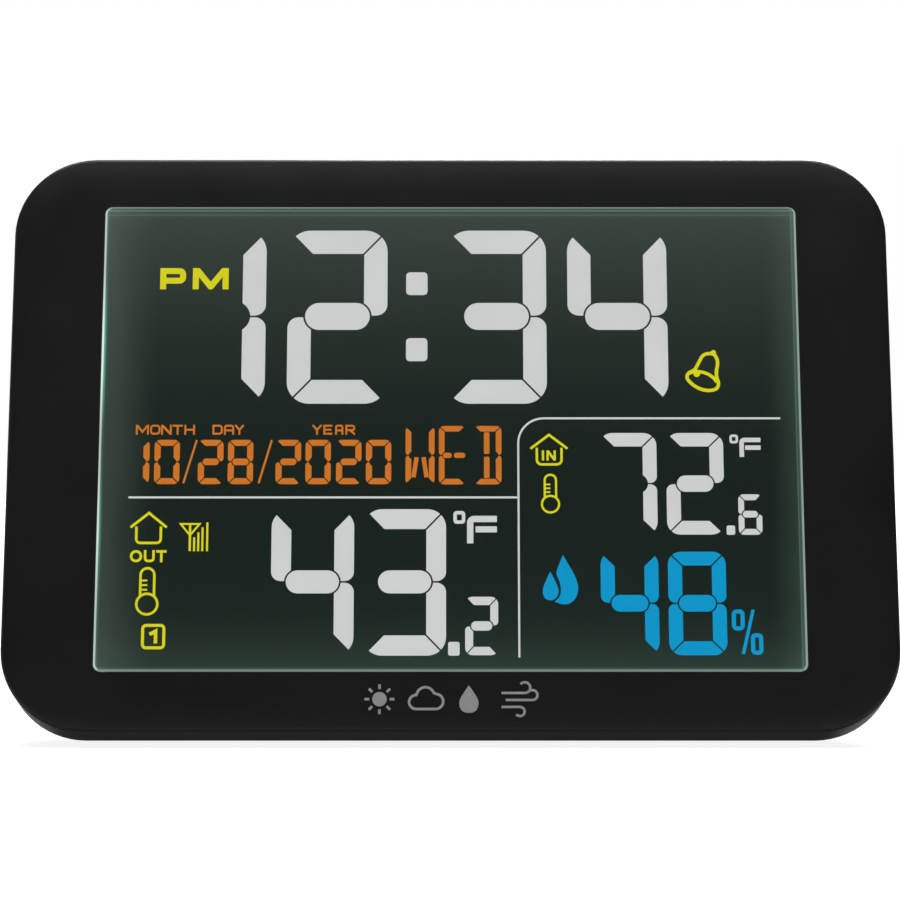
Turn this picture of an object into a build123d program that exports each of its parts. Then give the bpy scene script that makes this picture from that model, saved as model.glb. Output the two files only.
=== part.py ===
from build123d import *
import math
import os

# Home weather station: a desk or wall display with a large segment LCD.
#
# Every piece is drawn in the device frame: X to the right, Y rearwards from the
# front face, Z up from the bottom edge of the bezel. place() then leans the
# device back and moves the origin to the bottom centre of the whole object's
# box, so that the table is Z = 0, +Z is up and the display faces -Y.

# ---- Driving dimensions, in millimetres and degrees ----
WIDTH = 216.7
HEIGHT = 144.9
DEPTH = 27.5
CORNER_R = 20.0
LEAN = 17.0
SIN = math.sin(math.radians(LEAN))
COS = math.cos(math.radians(LEAN))

# Front bezel
BEZEL_DEPTH = 14.0
WALL = 2.2
FACE_THICK = 2.4
ROLL_WIDTH = 8.0
ROLL_DROP = 0.7
EDGE_R = 1.0
MID_Z = HEIGHT / 2

# Rear cover: a thin rim on the bezel, then a tapered back
RIM_INSET = 0.5
RIM_DEPTH = 1.2
BACK_START = BEZEL_DEPTH + RIM_DEPTH
BACK_INSET_START = 2.5
BACK_INSET_END = 8.0
BACK_TAPER = math.degrees(math.atan((BACK_INSET_END - BACK_INSET_START) / (DEPTH - BACK_START)))
BACK_EDGE_R = 4.0
LIP_INSET = WALL + 0.15
LIP_THICK = 1.5
LIP_DEPTH = 2.5
BACK_INNER = DEPTH - WALL

# Display window and lens
LENS_W = 171.7
LENS_H = 117.7
LENS_R = 1.9
LENS_GAP = 0.15
LENS_CHAMFER = 0.4
WINDOW_Z = 73.2
FLANGE_W = 176.0
FLANGE_H = 122.0
FLANGE_THICK = 1.2

# Display stack: front depth of each layer, rearwards from the lens flange
GASKET_Y = (3.6, 4.2)
FRONT_POLARIZER_Y = (4.2, 4.4)
FRONT_GLASS_Y = (4.4, 5.5)
REAR_GLASS_Y = (5.5, 6.6)
REAR_POLARIZER_Y = (6.6, 6.8)
DIFFUSER_Y = (7.0, 7.5)
GUIDE_Y = (7.5, 10.5)
REFLECTOR_Y = (10.5, 10.8)
FRAME_Y = (10.8, 12.0)
GLASS_HALF_W = 87.4
GLASS_TOP = 133.8
FRONT_GLASS_BOTTOM = 9.0
REAR_GLASS_BOTTOM = 13.0
GUIDE_HALF_W = 87.0

# Main board
BOARD_Y = (12.0, 13.6)
BOARD_BACK = BOARD_Y[1]
BOARD_HALF_W = 84.0
BOARD_Z = (4.2, 139.4)
BOARD_SCREW_X = (-60.0, 0.0, 60.0)
BOARD_SCREW_TOP_X = (-60.0, 60.0)
BOARD_SCREW_LOW_Z = 6.6
BOARD_SCREW_HIGH_Z = 137.0
BOARD_POST_R = 2.2
BOARD_SCREW_R = 0.9
BOARD_HEAD_R = 1.75
BOARD_HEAD_H = 1.2

# Case screws, three each side
SCREW_X = 93.0
SCREW_Z = (20.0, 72.0, 126.0)
SCREW_R = 1.3
SCREW_CLEAR = 0.05
SCREW_HEAD_R = 2.4
SCREW_HEAD_H = 1.9
SCREW_LENGTH = 10.0
SCREW_SEAT_Y = 16.8
SCREW_POST_R = 3.0
SCREW_POST_END = 13.4
SCREW_WELL_R = 2.8
SCREW_TUBE_R = 3.7

# Feet under the bezel's rear edge; the table is this far below the lean axis
FOOT_CLEAR = 0.25
TABLE_Z = -BEZEL_DEPTH * SIN - FOOT_CLEAR
FOOT_X = 70.0
FOOT_SIZE = (18.0, 5.6, 1.3)
FOOT_Y = 18.4
FOOT_BOSS_MARGIN = 1.2
FOOT_POCKET = 0.6

# Folding leg, hinged near the middle of the back
LEG_HALF_W = 30.0
LEG_GAP = 0.3
LEG_THICK = 3.2
LEG_FACE_Y = DEPTH - 0.1
HINGE_Y = 24.8
HINGE_Z = 54.0
HINGE_R = 2.5
HINGE_PIN_R = 1.0
HINGE_PIN_CLEAR = 0.05
HINGE_PIN_X = (21.0, 32.4)
LEG_FOOT_R = LEG_THICK / 2
LEG_OPEN_REAR = 20.0
LEG_SWING = LEAN + LEG_OPEN_REAR
LEG_MID_Y = LEG_FACE_Y - LEG_THICK / 2
RECESS_FLOOR = 21.8
RECESS_TOP = HINGE_Z + 4.0

# Batteries: three AAA cells lying across the back
CELL_R = 5.25
CELL_LENGTH = 44.5
CELL_Y = 20.45
CELL_Z = (73.0, 85.0, 97.0)
BAY_HALF_W = 26.5
BAY_Z = (66.0, 104.0)
BAY_WALL = 1.5
BAY_FLOOR_Y = (14.2, 15.2)
CONTACT_THICK = 0.4
SPRING_LENGTH = 5.7

# Battery door, pivoted along its lower edge
DOOR_Y = (25.9, 27.4)
DOOR_HALF_W = 30.7
DOOR_Z = (63.3, 106.7)
DOOR_GAP = 0.3
DOOR_PIVOT_R = (DOOR_Y[1] - DOOR_Y[0]) / 2
DOOR_PIVOT_Y = (DOOR_Y[0] + DOOR_Y[1]) / 2
DOOR_PIVOT_Z = DOOR_Z[0] + DOOR_PIVOT_R
DOOR_PIN_R = 0.55
DOOR_PIN_CLEAR = 0.07
DOOR_SEAT_Y = DOOR_Y[0] - 0.1
DOOR_RIM_Y = 24.6

# Rear buttons: two columns of three
BUTTON_X = 74.0
BUTTON_Z = (66.0, 84.0, 102.0)
BUTTON_NAMES = ("low", "mid", "high")
BUTTON_SIZE = (12.0, 6.0)
BUTTON_GAP = 0.3
BUTTON_PROUD = 0.7
BUTTON_SKIRT = 1.2
BUTTON_SKIRT_Y = (24.1, 25.1)
SWITCH_SIZE = 6.0
SWITCH_HEIGHT = 3.4
PLUNGER_R = 1.6
PLUNGER_CLEAR = 0.08
PLUNGER_Y = (BOARD_BACK + 2.4, BOARD_BACK + 4.6)

# Top bar button
SNOOZE_Y = 7.4
SNOOZE_LENGTH = 54.0
SNOOZE_WIDTH = 6.0
SNOOZE_PROUD = 0.6
SNOOZE_FLOOR = HEIGHT - 4.4
SNOOZE_SKIRT_Z = (HEIGHT - 3.5, HEIGHT - 2.5)
SNOOZE_SKIRT_Y = (3.6, 11.1)
SNOOZE_SWITCH_Z = (134.7, 138.1)
SNOOZE_SWITCH_Y = (5.4, 9.4)
SNOOZE_PLUNGER_Z = (137.5, SNOOZE_FLOOR)
SNOOZE_PLUNGER_R = 1.2

# Power socket
JACK_X = 74.0
JACK_Z = 30.0
JACK_BORE_R = 2.75
JACK_PIN_R = 1.05
JACK_NOSE_R = 3.9
JACK_NOSE_Y = 27.1

# Wall hanging keyhole
KEY_Z = 120.0
KEY_ENTRY_R = 4.0
KEY_SLOT_R = 2.0
KEY_RISE = 7.0
KEY_POCKET_X = 6.2
KEY_POCKET_Y = 21.9
KEY_POCKET_Z = (114.3, 132.2)
KEY_POCKET_WALL = 1.0

# Openings in the back for the sensor and the buzzer
VENT_X = -74.0
VENT_Z = 33.0
VENT_COUNT = 6
VENT_PITCH = 4.0
VENT_SIZE = (1.6, 20.0)
BUZZER_X = 46.0
BUZZER_Z = 116.0
BUZZER_R = 8.5
BUZZER_HOLE_R = 0.8
BUZZER_RING_R = 4.0

# Backlight lamps beside the light guide
STRIP_X = (-89.8, -89.2)
STRIP_Y = (7.2, 10.7)
STRIP_Z = (28.0, 118.0)
LAMP_Y = (7.6, 10.4)
LAMP_Z = (34.0, 50.0, 66.0, 82.0, 98.0, 112.0)
LAMP_HALF = 2.0
LAMP_GAP = 0.2

# Contact strips below the glass
ZEBRA_Z = (9.3, 12.3)
ZEBRA_X = ((-80.0, -1.0), (1.0, 80.0))

# Parts on the main board
CHIP_X = 52.0
CHIP_Z = 36.0
CHIP_HALF = 5.0
CHIP_Y = (BOARD_BACK + 0.1, BOARD_BACK + 1.5)
LEAD_COUNT = 9
LEAD_PITCH = 1.0
LEAD_REACH = 1.0
LEAD_HALF = 0.2
LEAD_THICK = 0.4
CRYSTAL_R = 1.5
CRYSTAL_X = 64.0
CRYSTAL_Z = (40.0, 48.0)
BIG_CAN_R = 3.1
BIG_CAN_HEIGHT = 7.0
BIG_CAN_X = (-40.0, -48.0)
BIG_CAN_Z = 50.0
SMALL_CAN_R = 2.5
SMALL_CAN_HEIGHT = 5.0
SMALL_CAN_X = 62.0
SMALL_CAN_Z = 22.0
CHIP_PART = (2.0, 0.7, 1.25)
CHIP_PART_PITCH = 4.0
CHIP_PART_START = (38.0, 22.0)
SIDE_PART_START = (-56.0, 36.0)

# Sensor board behind the vents and receiver board with its aerial
PIN_PITCH = 2.54
PIN_HALF = 0.32
PIN_ROW_HALF = 0.3
SENSOR_BOARD_Y = (21.0, 22.0)
SENSOR_BOARD_HALF = (8.0, 6.0)
SENSOR_PINS_Z = VENT_Z - 5.0
SENSOR_HALF = 2.5
SENSOR_Y = (22.0, 23.6)
SENSOR_PORT_R = 1.2
SENSOR_PORT_Y = 23.0
RECEIVER_X = (-66.0, -34.0)
RECEIVER_Y = (16.2, 17.2)
RECEIVER_Z = (116.0, 129.0)
RECEIVER_PINS_X = -54.0
RECEIVER_PINS_Z = 117.5
AERIAL_TURNS = 11
AERIAL_R = 2.0
AERIAL_WIRE_R = 0.35
AERIAL_X = (-33.0, -9.0)
AERIAL_Y = 19.4
AERIAL_Z = 121.0


# ---- Simple shapes in the device frame ----
def slab(xs, ys, zs):
    """Box between a low and a high value along each axis."""
    middle = [(low + high) / 2 for low, high in (xs, ys, zs)]
    return Pos(*middle) * Box(xs[1] - xs[0], ys[1] - ys[0], zs[1] - zs[0])


def bar_x(radius, xs, y, z):
    """Round bar along X."""
    return Pos((xs[0] + xs[1]) / 2, y, z) * Rot(Y=90) * Cylinder(radius, xs[1] - xs[0])


def bar_y(radius, x, ys, z):
    """Round bar along Y."""
    return Pos(x, (ys[0] + ys[1]) / 2, z) * Rot(X=90) * Cylinder(radius, ys[1] - ys[0])


def bar_z(radius, x, y, zs):
    """Round bar along Z."""
    return Pos(x, y, (zs[0] + zs[1]) / 2) * Cylinder(radius, zs[1] - zs[0])


def facing_back(y):
    """Sketch plane at depth y whose normal points rearwards and local Y points down."""
    return Plane(origin=(0, y, 0), x_dir=(1, 0, 0), z_dir=(0, 1, 0))


def plate(width, height, radius, ys, x=0.0, z=MID_Z, taper=0.0):
    """Rounded rectangle facing the back, extruded from ys[0] to ys[1]."""
    outline = facing_back(ys[0]) * Pos(x, -z) * RectangleRounded(width, height, radius)
    return extrude(outline, amount=ys[1] - ys[0], taper=taper)


def pill(length, width, ys, x, z, turn=0.0):
    """Slot shape with round ends, extruded from ys[0] to ys[1]."""
    outline = facing_back(ys[0]) * Pos(x, -z) * Rot(Z=turn) * SlotOverall(length, width)
    return extrude(outline, amount=ys[1] - ys[0])


def level(shape):
    """Turn a shape drawn level with the table into the leaning device frame."""
    return Rot(X=LEAN) * shape


def coil(turns, radius, wire_r, xs, y, z):
    """Round wire wound about a line along X."""
    height = xs[1] - xs[0] - 2 * wire_r
    start = (xs[0] + wire_r, y, z)
    path = Helix(pitch=height / turns, height=height, radius=radius, center=start, direction=(1, 0, 0))
    section = Plane(origin=path @ 0, z_dir=path % 0) * Circle(wire_r)
    return sweep(section, path=path)


def wire(points, wire_r, bend_r):
    """Insulated wire along straight runs joined by equal bends."""
    path = FilletPolyline(*points, radius=bend_r)
    section = Plane(origin=path @ 0, z_dir=path % 0) * Circle(wire_r)
    return sweep(section, path=path)


# ---- Case ----
def border_section():
    """Outline of the material that the crown and the rounded edge take off.

    Local X is the distance in from the border and local Y is the depth.
    """
    slope = math.atan2(2 * ROLL_DROP * ROLL_WIDTH, ROLL_WIDTH**2 - ROLL_DROP**2)
    edge = (EDGE_R * (1 - math.sin(slope)), ROLL_DROP)
    side = (0, ROLL_DROP + EDGE_R * math.cos(slope))
    flat = (edge[0] + ROLL_WIDTH, 0)
    crown = TangentArc(flat, edge, tangent=(-1, 0))
    corner = TangentArc(edge, side, tangent=crown % 1)
    outside = Polyline(side, (-2, side[1]), (-2, -1), (flat[0], -1), flat)
    return make_face([crown, corner, outside])


def crowned_block():
    """Outer form of the bezel: a rounded block whose front rolls off at its border."""
    outline = facing_back(0) * Pos(0, -MID_Z) * RectangleRounded(WIDTH, HEIGHT, CORNER_R)
    path = outline.face().outer_wire()
    start = path @ 0
    depth = Vector(0, 1, 0)
    inward = (path % 0).cross(depth)
    if inward.dot(Vector(0, 0, MID_Z) - start) < 0:
        inward = -inward
    border = Plane(origin=start, x_dir=inward, z_dir=inward.cross(depth))
    return extrude(outline, amount=BEZEL_DEPTH) - sweep(border * border_section(), path=path)


def front_bezel():
    """Deep front shell with the window, the screw posts and the slot for the top button."""
    shell = crowned_block()
    inside = (FACE_THICK, BEZEL_DEPTH + 1)
    shell -= plate(WIDTH - 2 * WALL, HEIGHT - 2 * WALL, CORNER_R - WALL, inside)
    opening = (LENS_W + 2 * LENS_GAP, LENS_H + 2 * LENS_GAP, LENS_R + LENS_GAP)
    shell -= plate(*opening, (-1, FACE_THICK + 1), z=WINDOW_Z)
    slot = Pos(0, SNOOZE_Y, SNOOZE_FLOOR) * SlotOverall(SNOOZE_LENGTH + 0.6, SNOOZE_WIDTH + 0.6)
    shell -= extrude(slot, amount=HEIGHT)
    for x in (-SCREW_X, SCREW_X):
        for z in SCREW_Z:
            post = bar_y(SCREW_POST_R, x, (FACE_THICK, SCREW_POST_END), z)
            shell += post - bar_y(SCREW_R + SCREW_CLEAR, x, (FACE_THICK + 2, BEZEL_DEPTH), z)
    for x, z in board_screw_places():
        post = bar_y(BOARD_POST_R, x, (FACE_THICK, BOARD_Y[0]), z)
        shell += post - bar_y(BOARD_SCREW_R + SCREW_CLEAR, x, (FACE_THICK + 2, BOARD_BACK), z)
    return shell


def board_screw_places():
    """X and Z of each screw that holds the main board."""
    low = [(x, BOARD_SCREW_LOW_Z) for x in BOARD_SCREW_X]
    high = [(x, BOARD_SCREW_HIGH_Z) for x in BOARD_SCREW_TOP_X]
    return low + high


def cover_shape(inset, start, end, corner):
    """Tapered block inset from the case outline at its start depth."""
    size = (WIDTH - 2 * inset, HEIGHT - 2 * inset, CORNER_R - inset)
    block = plate(*size, (start, end), taper=BACK_TAPER)
    return fillet(block.faces().sort_by(Axis.Y)[-1].edges(), corner)


def leg_recess(grow=0.0):
    """Space that the folded leg fills, open at the bottom edge of the back."""
    half = LEG_HALF_W + LEG_GAP + grow
    floor = RECESS_FLOOR - grow
    return slab((-half, half), (floor, DEPTH + 5), (-5, RECESS_TOP + grow))


def bay_block():
    """Solid that the battery bay is cut from."""
    half = BAY_HALF_W + BAY_WALL
    heights = (BAY_Z[0] - BAY_WALL, BAY_Z[1] + BAY_WALL)
    block = slab((-half, half), (BAY_FLOOR_Y[0], BACK_INNER), heights)
    rim_half = DOOR_HALF_W + 2.2
    rim = slab((-rim_half, rim_half), (DOOR_RIM_Y, BACK_INNER), (DOOR_Z[0] - 2.2, DOOR_Z[1] + 2.2))
    return block + rim


def bay_cut():
    """Room for the cells, the door's seat, its pivot holes and a finger notch."""
    cut = slab((-BAY_HALF_W, BAY_HALF_W), (BAY_FLOOR_Y[1], DEPTH + 1), BAY_Z)
    seat_half = DOOR_HALF_W + DOOR_GAP
    seat_z = (DOOR_Z[0] - DOOR_GAP, DOOR_Z[1] + DOOR_GAP)
    cut += slab((-seat_half, seat_half), (DOOR_SEAT_Y, DEPTH + 1), seat_z)
    pivot_reach = seat_half + 1.2
    pivot_r = DOOR_PIN_R + DOOR_PIN_CLEAR
    cut += bar_x(pivot_r, (-pivot_reach, pivot_reach), DOOR_PIVOT_Y, DOOR_PIVOT_Z)
    cut += pill(16.0, 8.0, (DEPTH - 1.2, DEPTH + 1), 0, seat_z[1])
    return cut


def keyhole():
    """Round entry with a narrow slot above it."""
    through = (BACK_INNER - 1, DEPTH + 1)
    top = KEY_Z + KEY_RISE
    slot = slab((-KEY_SLOT_R, KEY_SLOT_R), through, (KEY_Z, top))
    return bar_y(KEY_ENTRY_R, 0, through, KEY_Z) + slot + bar_y(KEY_SLOT_R, 0, through, top)


def key_pocket(wall=0.0):
    """Closed pocket behind the keyhole, or with a wall the block around it."""
    low, high = KEY_POCKET_Z
    across = (-KEY_POCKET_X - wall, KEY_POCKET_X + wall)
    return slab(across, (KEY_POCKET_Y - wall, BACK_INNER), (low - wall, high + wall))


def vents():
    """Slots in front of the sensor and small holes in front of the buzzer."""
    through = (BACK_INNER - 1, DEPTH + 1)
    first = VENT_X - VENT_PITCH * (VENT_COUNT - 1) / 2
    cut = Part()
    for index in range(VENT_COUNT):
        cut += pill(VENT_SIZE[1], VENT_SIZE[0], through, first + index * VENT_PITCH, VENT_Z, turn=90)
    cut += bar_y(BUZZER_HOLE_R, BUZZER_X, through, BUZZER_Z)
    for step in range(6):
        angle = math.radians(60 * step)
        x = BUZZER_X + BUZZER_RING_R * math.cos(angle)
        cut += bar_y(BUZZER_HOLE_R, x, through, BUZZER_Z + BUZZER_RING_R * math.sin(angle))
    return cut


def foot_bosses():
    """Blocks under the back that carry the feet, level with the table."""
    block = Part()
    half_x = FOOT_SIZE[0] / 2 + FOOT_BOSS_MARGIN
    half_y = FOOT_SIZE[1] / 2 + FOOT_BOSS_MARGIN
    under = TABLE_Z + FOOT_SIZE[2] - FOOT_POCKET
    for x in (-FOOT_X, FOOT_X):
        block += slab((x - half_x, x + half_x), (FOOT_Y - half_y, FOOT_Y + half_y), (under, under + 8))
    return level(block) & slab((-WIDTH, WIDTH), (BACK_START, DEPTH), (-10, 20))


def foot_pad(x):
    """Rubber foot, level with the table."""
    size = (FOOT_SIZE[0], FOOT_SIZE[1], FOOT_SIZE[2])
    pad = Pos(x, FOOT_Y, TABLE_Z + size[2] / 2) * Box(*size)
    pad = fillet(pad.edges().filter_by(Axis.Z), 2.0)
    pad = fillet(pad.faces().sort_by(Axis.Z)[0].edges(), 0.3)
    return level(pad)


def rear_cover():
    """Back shell with the battery bay, the leg recess, the vents and the screw tubes."""
    rim_size = (WIDTH - 2 * RIM_INSET, HEIGHT - 2 * RIM_INSET, CORNER_R - RIM_INSET)
    rim = plate(*rim_size, (BEZEL_DEPTH, BACK_START))
    rim = fillet(rim.faces().sort_by(Axis.Y)[-1].edges(), 0.6)
    lip_size = (WIDTH - 2 * LIP_INSET, HEIGHT - 2 * LIP_INSET, CORNER_R - LIP_INSET)
    lip = plate(*lip_size, (BEZEL_DEPTH - LIP_DEPTH, BEZEL_DEPTH))
    lip_hole = (lip_size[0] - 2 * LIP_THICK, lip_size[1] - 2 * LIP_THICK, lip_size[2] - LIP_THICK)
    lip -= plate(*lip_hole, (BEZEL_DEPTH - LIP_DEPTH - 1, BEZEL_DEPTH))
    cover = rim + lip + cover_shape(BACK_INSET_START, BACK_START, DEPTH, BACK_EDGE_R) + foot_bosses()
    room = cover_shape(BACK_INSET_START + WALL, BEZEL_DEPTH, BACK_INNER, 2.0)
    cover -= room - leg_recess(WALL) - bay_block() - screw_tubes() - key_pocket(KEY_POCKET_WALL)
    cover -= leg_recess() + bay_cut() + keyhole() + key_pocket() + vents() + screw_wells() + button_holes()
    cover -= bar_y(JACK_NOSE_R + 0.15, JACK_X, (BACK_INNER - 1, DEPTH + 1), JACK_Z)
    cover -= bar_x(HINGE_PIN_R, (-HINGE_PIN_X[1], HINGE_PIN_X[1]), HINGE_Y, HINGE_Z)
    for x in (-FOOT_X, FOOT_X):
        cover -= foot_pad(x)
    return cover


def screw_tubes():
    """Posts inside the back around each case screw."""
    tubes = Part()
    for x in (-SCREW_X, SCREW_X):
        for z in SCREW_Z:
            tubes += bar_y(SCREW_TUBE_R, x, (SCREW_POST_END + 0.1, DEPTH), z)
    return tubes


def screw_wells():
    """Sunk wells and clearance holes for the case screws."""
    wells = Part()
    for x in (-SCREW_X, SCREW_X):
        for z in SCREW_Z:
            wells += bar_y(SCREW_WELL_R, x, (SCREW_SEAT_Y, DEPTH + 1), z)
            wells += bar_y(SCREW_R + 0.2, x, (SCREW_POST_END, DEPTH), z)
    return wells


def button_holes():
    """Openings in the back for the six buttons."""
    holes = Part()
    length = BUTTON_SIZE[0] + 2 * BUTTON_GAP
    width = BUTTON_SIZE[1] + 2 * BUTTON_GAP
    for x in (-BUTTON_X, BUTTON_X):
        for z in BUTTON_Z:
            holes += pill(length, width, (BACK_INNER - 1, DEPTH + 1), x, z)
    return holes


def screw(x, z, seat, length, shank_r, head_r, head_h):
    """Cross-head screw driven towards the front, its head on the seat."""
    head = bar_y(head_r, x, (seat, seat + head_h), z)
    head = fillet(head.faces().sort_by(Axis.Y)[-1].edges(), head_h * 0.45)
    body = head + bar_y(shank_r, x, (seat - length, seat), z)
    arm = head_r * 1.1
    thin = head_r * 0.24
    deep = (seat + head_h * 0.45, seat + head_h + 1)
    body -= slab((x - arm / 2, x + arm / 2), deep, (z - thin / 2, z + thin / 2))
    return body - slab((x - thin / 2, x + thin / 2), deep, (z - arm / 2, z + arm / 2))


def case_screws():
    """Six screws that hold the two case halves together."""
    shape = (SCREW_SEAT_Y, SCREW_LENGTH, SCREW_R, SCREW_HEAD_R, SCREW_HEAD_H)
    return [screw(x, z, *shape) for x in (-SCREW_X, SCREW_X) for z in SCREW_Z]


# ---- Display stack ----
def layer(half_w, zs, ys):
    """Flat sheet of the display stack."""
    return slab((-half_w, half_w), ys, zs)


def display_lens():
    """Clear front lens with a polished chamfer and a thin flange behind the bezel."""
    boss = plate(LENS_W, LENS_H, LENS_R, (0, FACE_THICK), z=WINDOW_Z)
    boss = chamfer(boss.faces().sort_by(Axis.Y)[0].edges(), LENS_CHAMFER)
    flange_end = FACE_THICK + FLANGE_THICK
    return boss + plate(FLANGE_W, FLANGE_H, 3.0, (FACE_THICK, flange_end), z=WINDOW_Z)


def lens_gasket():
    """Foam ring between the lens flange and the display glass."""
    ring = plate(FLANGE_W, FLANGE_H, 3.0, GASKET_Y, z=WINDOW_Z)
    return ring - plate(LENS_W + 0.7, LENS_H + 0.7, LENS_R, (GASKET_Y[0] - 1, GASKET_Y[1] + 1), z=WINDOW_Z)


def lcd_frame():
    """Back plate of the display with rails beside the light guide."""
    rail = 1.0
    frame = slab((-GLASS_HALF_W, GLASS_HALF_W), FRAME_Y, (REAR_GLASS_BOTTOM, GLASS_TOP + 0.7))
    for x in (-58.0, 0.0, 58.0):
        frame -= plate(48.0, 84.0, 4.0, (FRAME_Y[0] - 1, FRAME_Y[1] + 1), x=x)
    inner_half = GUIDE_HALF_W + 0.2
    top = (GLASS_TOP + 0.1, GLASS_TOP + 0.7)
    frame += slab((-GLASS_HALF_W, GLASS_HALF_W), (REAR_POLARIZER_Y[1], FRAME_Y[1]), top)
    side = (inner_half, inner_half + rail)
    return frame + slab(side, (REAR_POLARIZER_Y[1], FRAME_Y[1]), (REAR_GLASS_BOTTOM, GLASS_TOP + 0.7))


def zebra_strips():
    """Rubber contact strips between the glass ledge and the main board."""
    return [slab(xs, (FRONT_GLASS_Y[1], BOARD_Y[0]), ZEBRA_Z) for xs in ZEBRA_X]


def backlight_strip():
    """Narrow lamp board beside the light guide."""
    return slab(STRIP_X, STRIP_Y, STRIP_Z)


def backlight_leds():
    """Side-firing lamps against the edge of the light guide."""
    xs = (STRIP_X[1], -GUIDE_HALF_W - LAMP_GAP)
    return [slab(xs, LAMP_Y, (z - LAMP_HALF, z + LAMP_HALF)) for z in LAMP_Z]


# ---- Electronics ----
def main_board():
    """Circuit board behind the display."""
    board = slab((-BOARD_HALF_W, BOARD_HALF_W), BOARD_Y, BOARD_Z)
    for x, z in board_screw_places():
        board -= bar_y(BOARD_SCREW_R + 0.3, x, (BOARD_Y[0] - 1, BOARD_BACK + 1), z)
    return board


def board_screws():
    """Five screws that hold the main board."""
    shape = (BOARD_BACK, 7.0, BOARD_SCREW_R, BOARD_HEAD_R, BOARD_HEAD_H)
    return [screw(x, z, *shape) for x, z in board_screw_places()]


def controller_chip():
    """Square chip with leads on four sides."""
    x, z, half = CHIP_X, CHIP_Z, CHIP_HALF
    reach = half + LEAD_REACH
    foot = (BOARD_BACK, BOARD_BACK + LEAD_THICK)
    chip = slab((x - half, x + half), CHIP_Y, (z - half, z + half))
    for index in range(LEAD_COUNT):
        offset = (index - (LEAD_COUNT - 1) / 2) * LEAD_PITCH
        low, high = offset - LEAD_HALF, offset + LEAD_HALF
        chip += slab((x - reach, x + reach), foot, (z + low, z + high))
        chip += slab((x + low, x + high), foot, (z - reach, z + reach))
    return chip


def quartz_crystal():
    """Tubular watch crystal lying on the board."""
    return bar_z(CRYSTAL_R, CRYSTAL_X, BOARD_BACK + CRYSTAL_R, CRYSTAL_Z)


def board_parts():
    """Capacitors and small chip parts soldered to the board."""
    parts = [bar_y(BIG_CAN_R, x, (BOARD_BACK, BOARD_BACK + BIG_CAN_HEIGHT), BIG_CAN_Z) for x in BIG_CAN_X]
    parts.append(bar_y(SMALL_CAN_R, SMALL_CAN_X, (BOARD_BACK, BOARD_BACK + SMALL_CAN_HEIGHT), SMALL_CAN_Z))
    length, height, width = CHIP_PART
    depths = (BOARD_BACK, BOARD_BACK + height)
    for index in range(8):
        x = CHIP_PART_START[0] + CHIP_PART_PITCH * (index % 4)
        z = CHIP_PART_START[1] - CHIP_PART_PITCH * (index // 4)
        parts.append(slab((x, x + length), depths, (z, z + width)))
    for index in range(5):
        x = SIDE_PART_START[0] + CHIP_PART_PITCH * index
        z = SIDE_PART_START[1]
        parts.append(slab((x, x + width), depths, (z, z + length)))
    return parts


def switch_housing(x, z):
    """Square push switch on the back of the board, with a bore for its plunger."""
    half = SWITCH_SIZE / 2
    body = slab((x - half, x + half), (BOARD_BACK, BOARD_BACK + SWITCH_HEIGHT), (z - half, z + half))
    bore = (BOARD_BACK + 1.6, BOARD_BACK + SWITCH_HEIGHT + 1)
    return body - bar_y(PLUNGER_R + PLUNGER_CLEAR, x, bore, z)


def button_switches():
    """Housings of the six rear switches and of the one under the top bar."""
    housings = [switch_housing(x, z) for x in (-BUTTON_X, BUTTON_X) for z in BUTTON_Z]
    top = slab((-3, 3), (SNOOZE_SWITCH_Y[0], BOARD_Y[0]), SNOOZE_SWITCH_Z)
    bore = (SNOOZE_SWITCH_Z[1] - 1.5, SNOOZE_SWITCH_Z[1] + 1)
    top -= bar_z(SNOOZE_PLUNGER_R + PLUNGER_CLEAR, 0, SNOOZE_Y, bore)
    return housings + [top]


def dc_jack():
    """Barrel socket standing on the board, its mouth in the back cover."""
    body = slab((JACK_X - 4.6, JACK_X + 4.6), (BOARD_BACK, BACK_INNER - 0.2), (JACK_Z - 5, JACK_Z + 5))
    body += bar_y(JACK_NOSE_R, JACK_X, (BACK_INNER - 0.2, JACK_NOSE_Y), JACK_Z)
    return body - bar_y(JACK_BORE_R, JACK_X, (BOARD_BACK + 4, DEPTH), JACK_Z)


def jack_contact_pin():
    """Centre contact of the power socket."""
    pin = bar_y(JACK_PIN_R, JACK_X, (BOARD_BACK + 4, JACK_NOSE_Y - 0.8), JACK_Z)
    return fillet(pin.faces().sort_by(Axis.Y)[-1].edges(), 0.5)


def buzzer():
    """Round sounder with a hole in its lid."""
    body = bar_y(BUZZER_R, BUZZER_X, (BOARD_BACK, BOARD_BACK + 6.5), BUZZER_Z)
    body = fillet(body.faces().sort_by(Axis.Y)[-1].edges(), 0.6)
    return body - bar_y(1.3, BUZZER_X, (BOARD_BACK + 5, BOARD_BACK + 8), BUZZER_Z)


def header_pins(first_x, z, top):
    """Four square pins in a row, standing on the main board."""
    places = [first_x + PIN_PITCH * index for index in range(4)]
    row = (z - PIN_ROW_HALF, z + PIN_ROW_HALF)
    return [slab((x - PIN_HALF, x + PIN_HALF), (BOARD_BACK, top), row) for x in places]


def sensor_board():
    """Small board that carries the sensor close to the vents."""
    across, up = SENSOR_BOARD_HALF
    return slab((VENT_X - across, VENT_X + across), SENSOR_BOARD_Y, (VENT_Z - up, VENT_Z + up))


def sensor_header():
    """Pins between the main board and the sensor board."""
    return header_pins(VENT_X - 1.5 * PIN_PITCH, SENSOR_PINS_Z, SENSOR_BOARD_Y[0])


def humidity_sensor():
    """Temperature and humidity sensor with its round port."""
    half = SENSOR_HALF
    body = slab((VENT_X - half, VENT_X + half), SENSOR_Y, (VENT_Z - half, VENT_Z + half))
    return body - bar_y(SENSOR_PORT_R, VENT_X, (SENSOR_PORT_Y, SENSOR_Y[1] + 1), VENT_Z)


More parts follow.
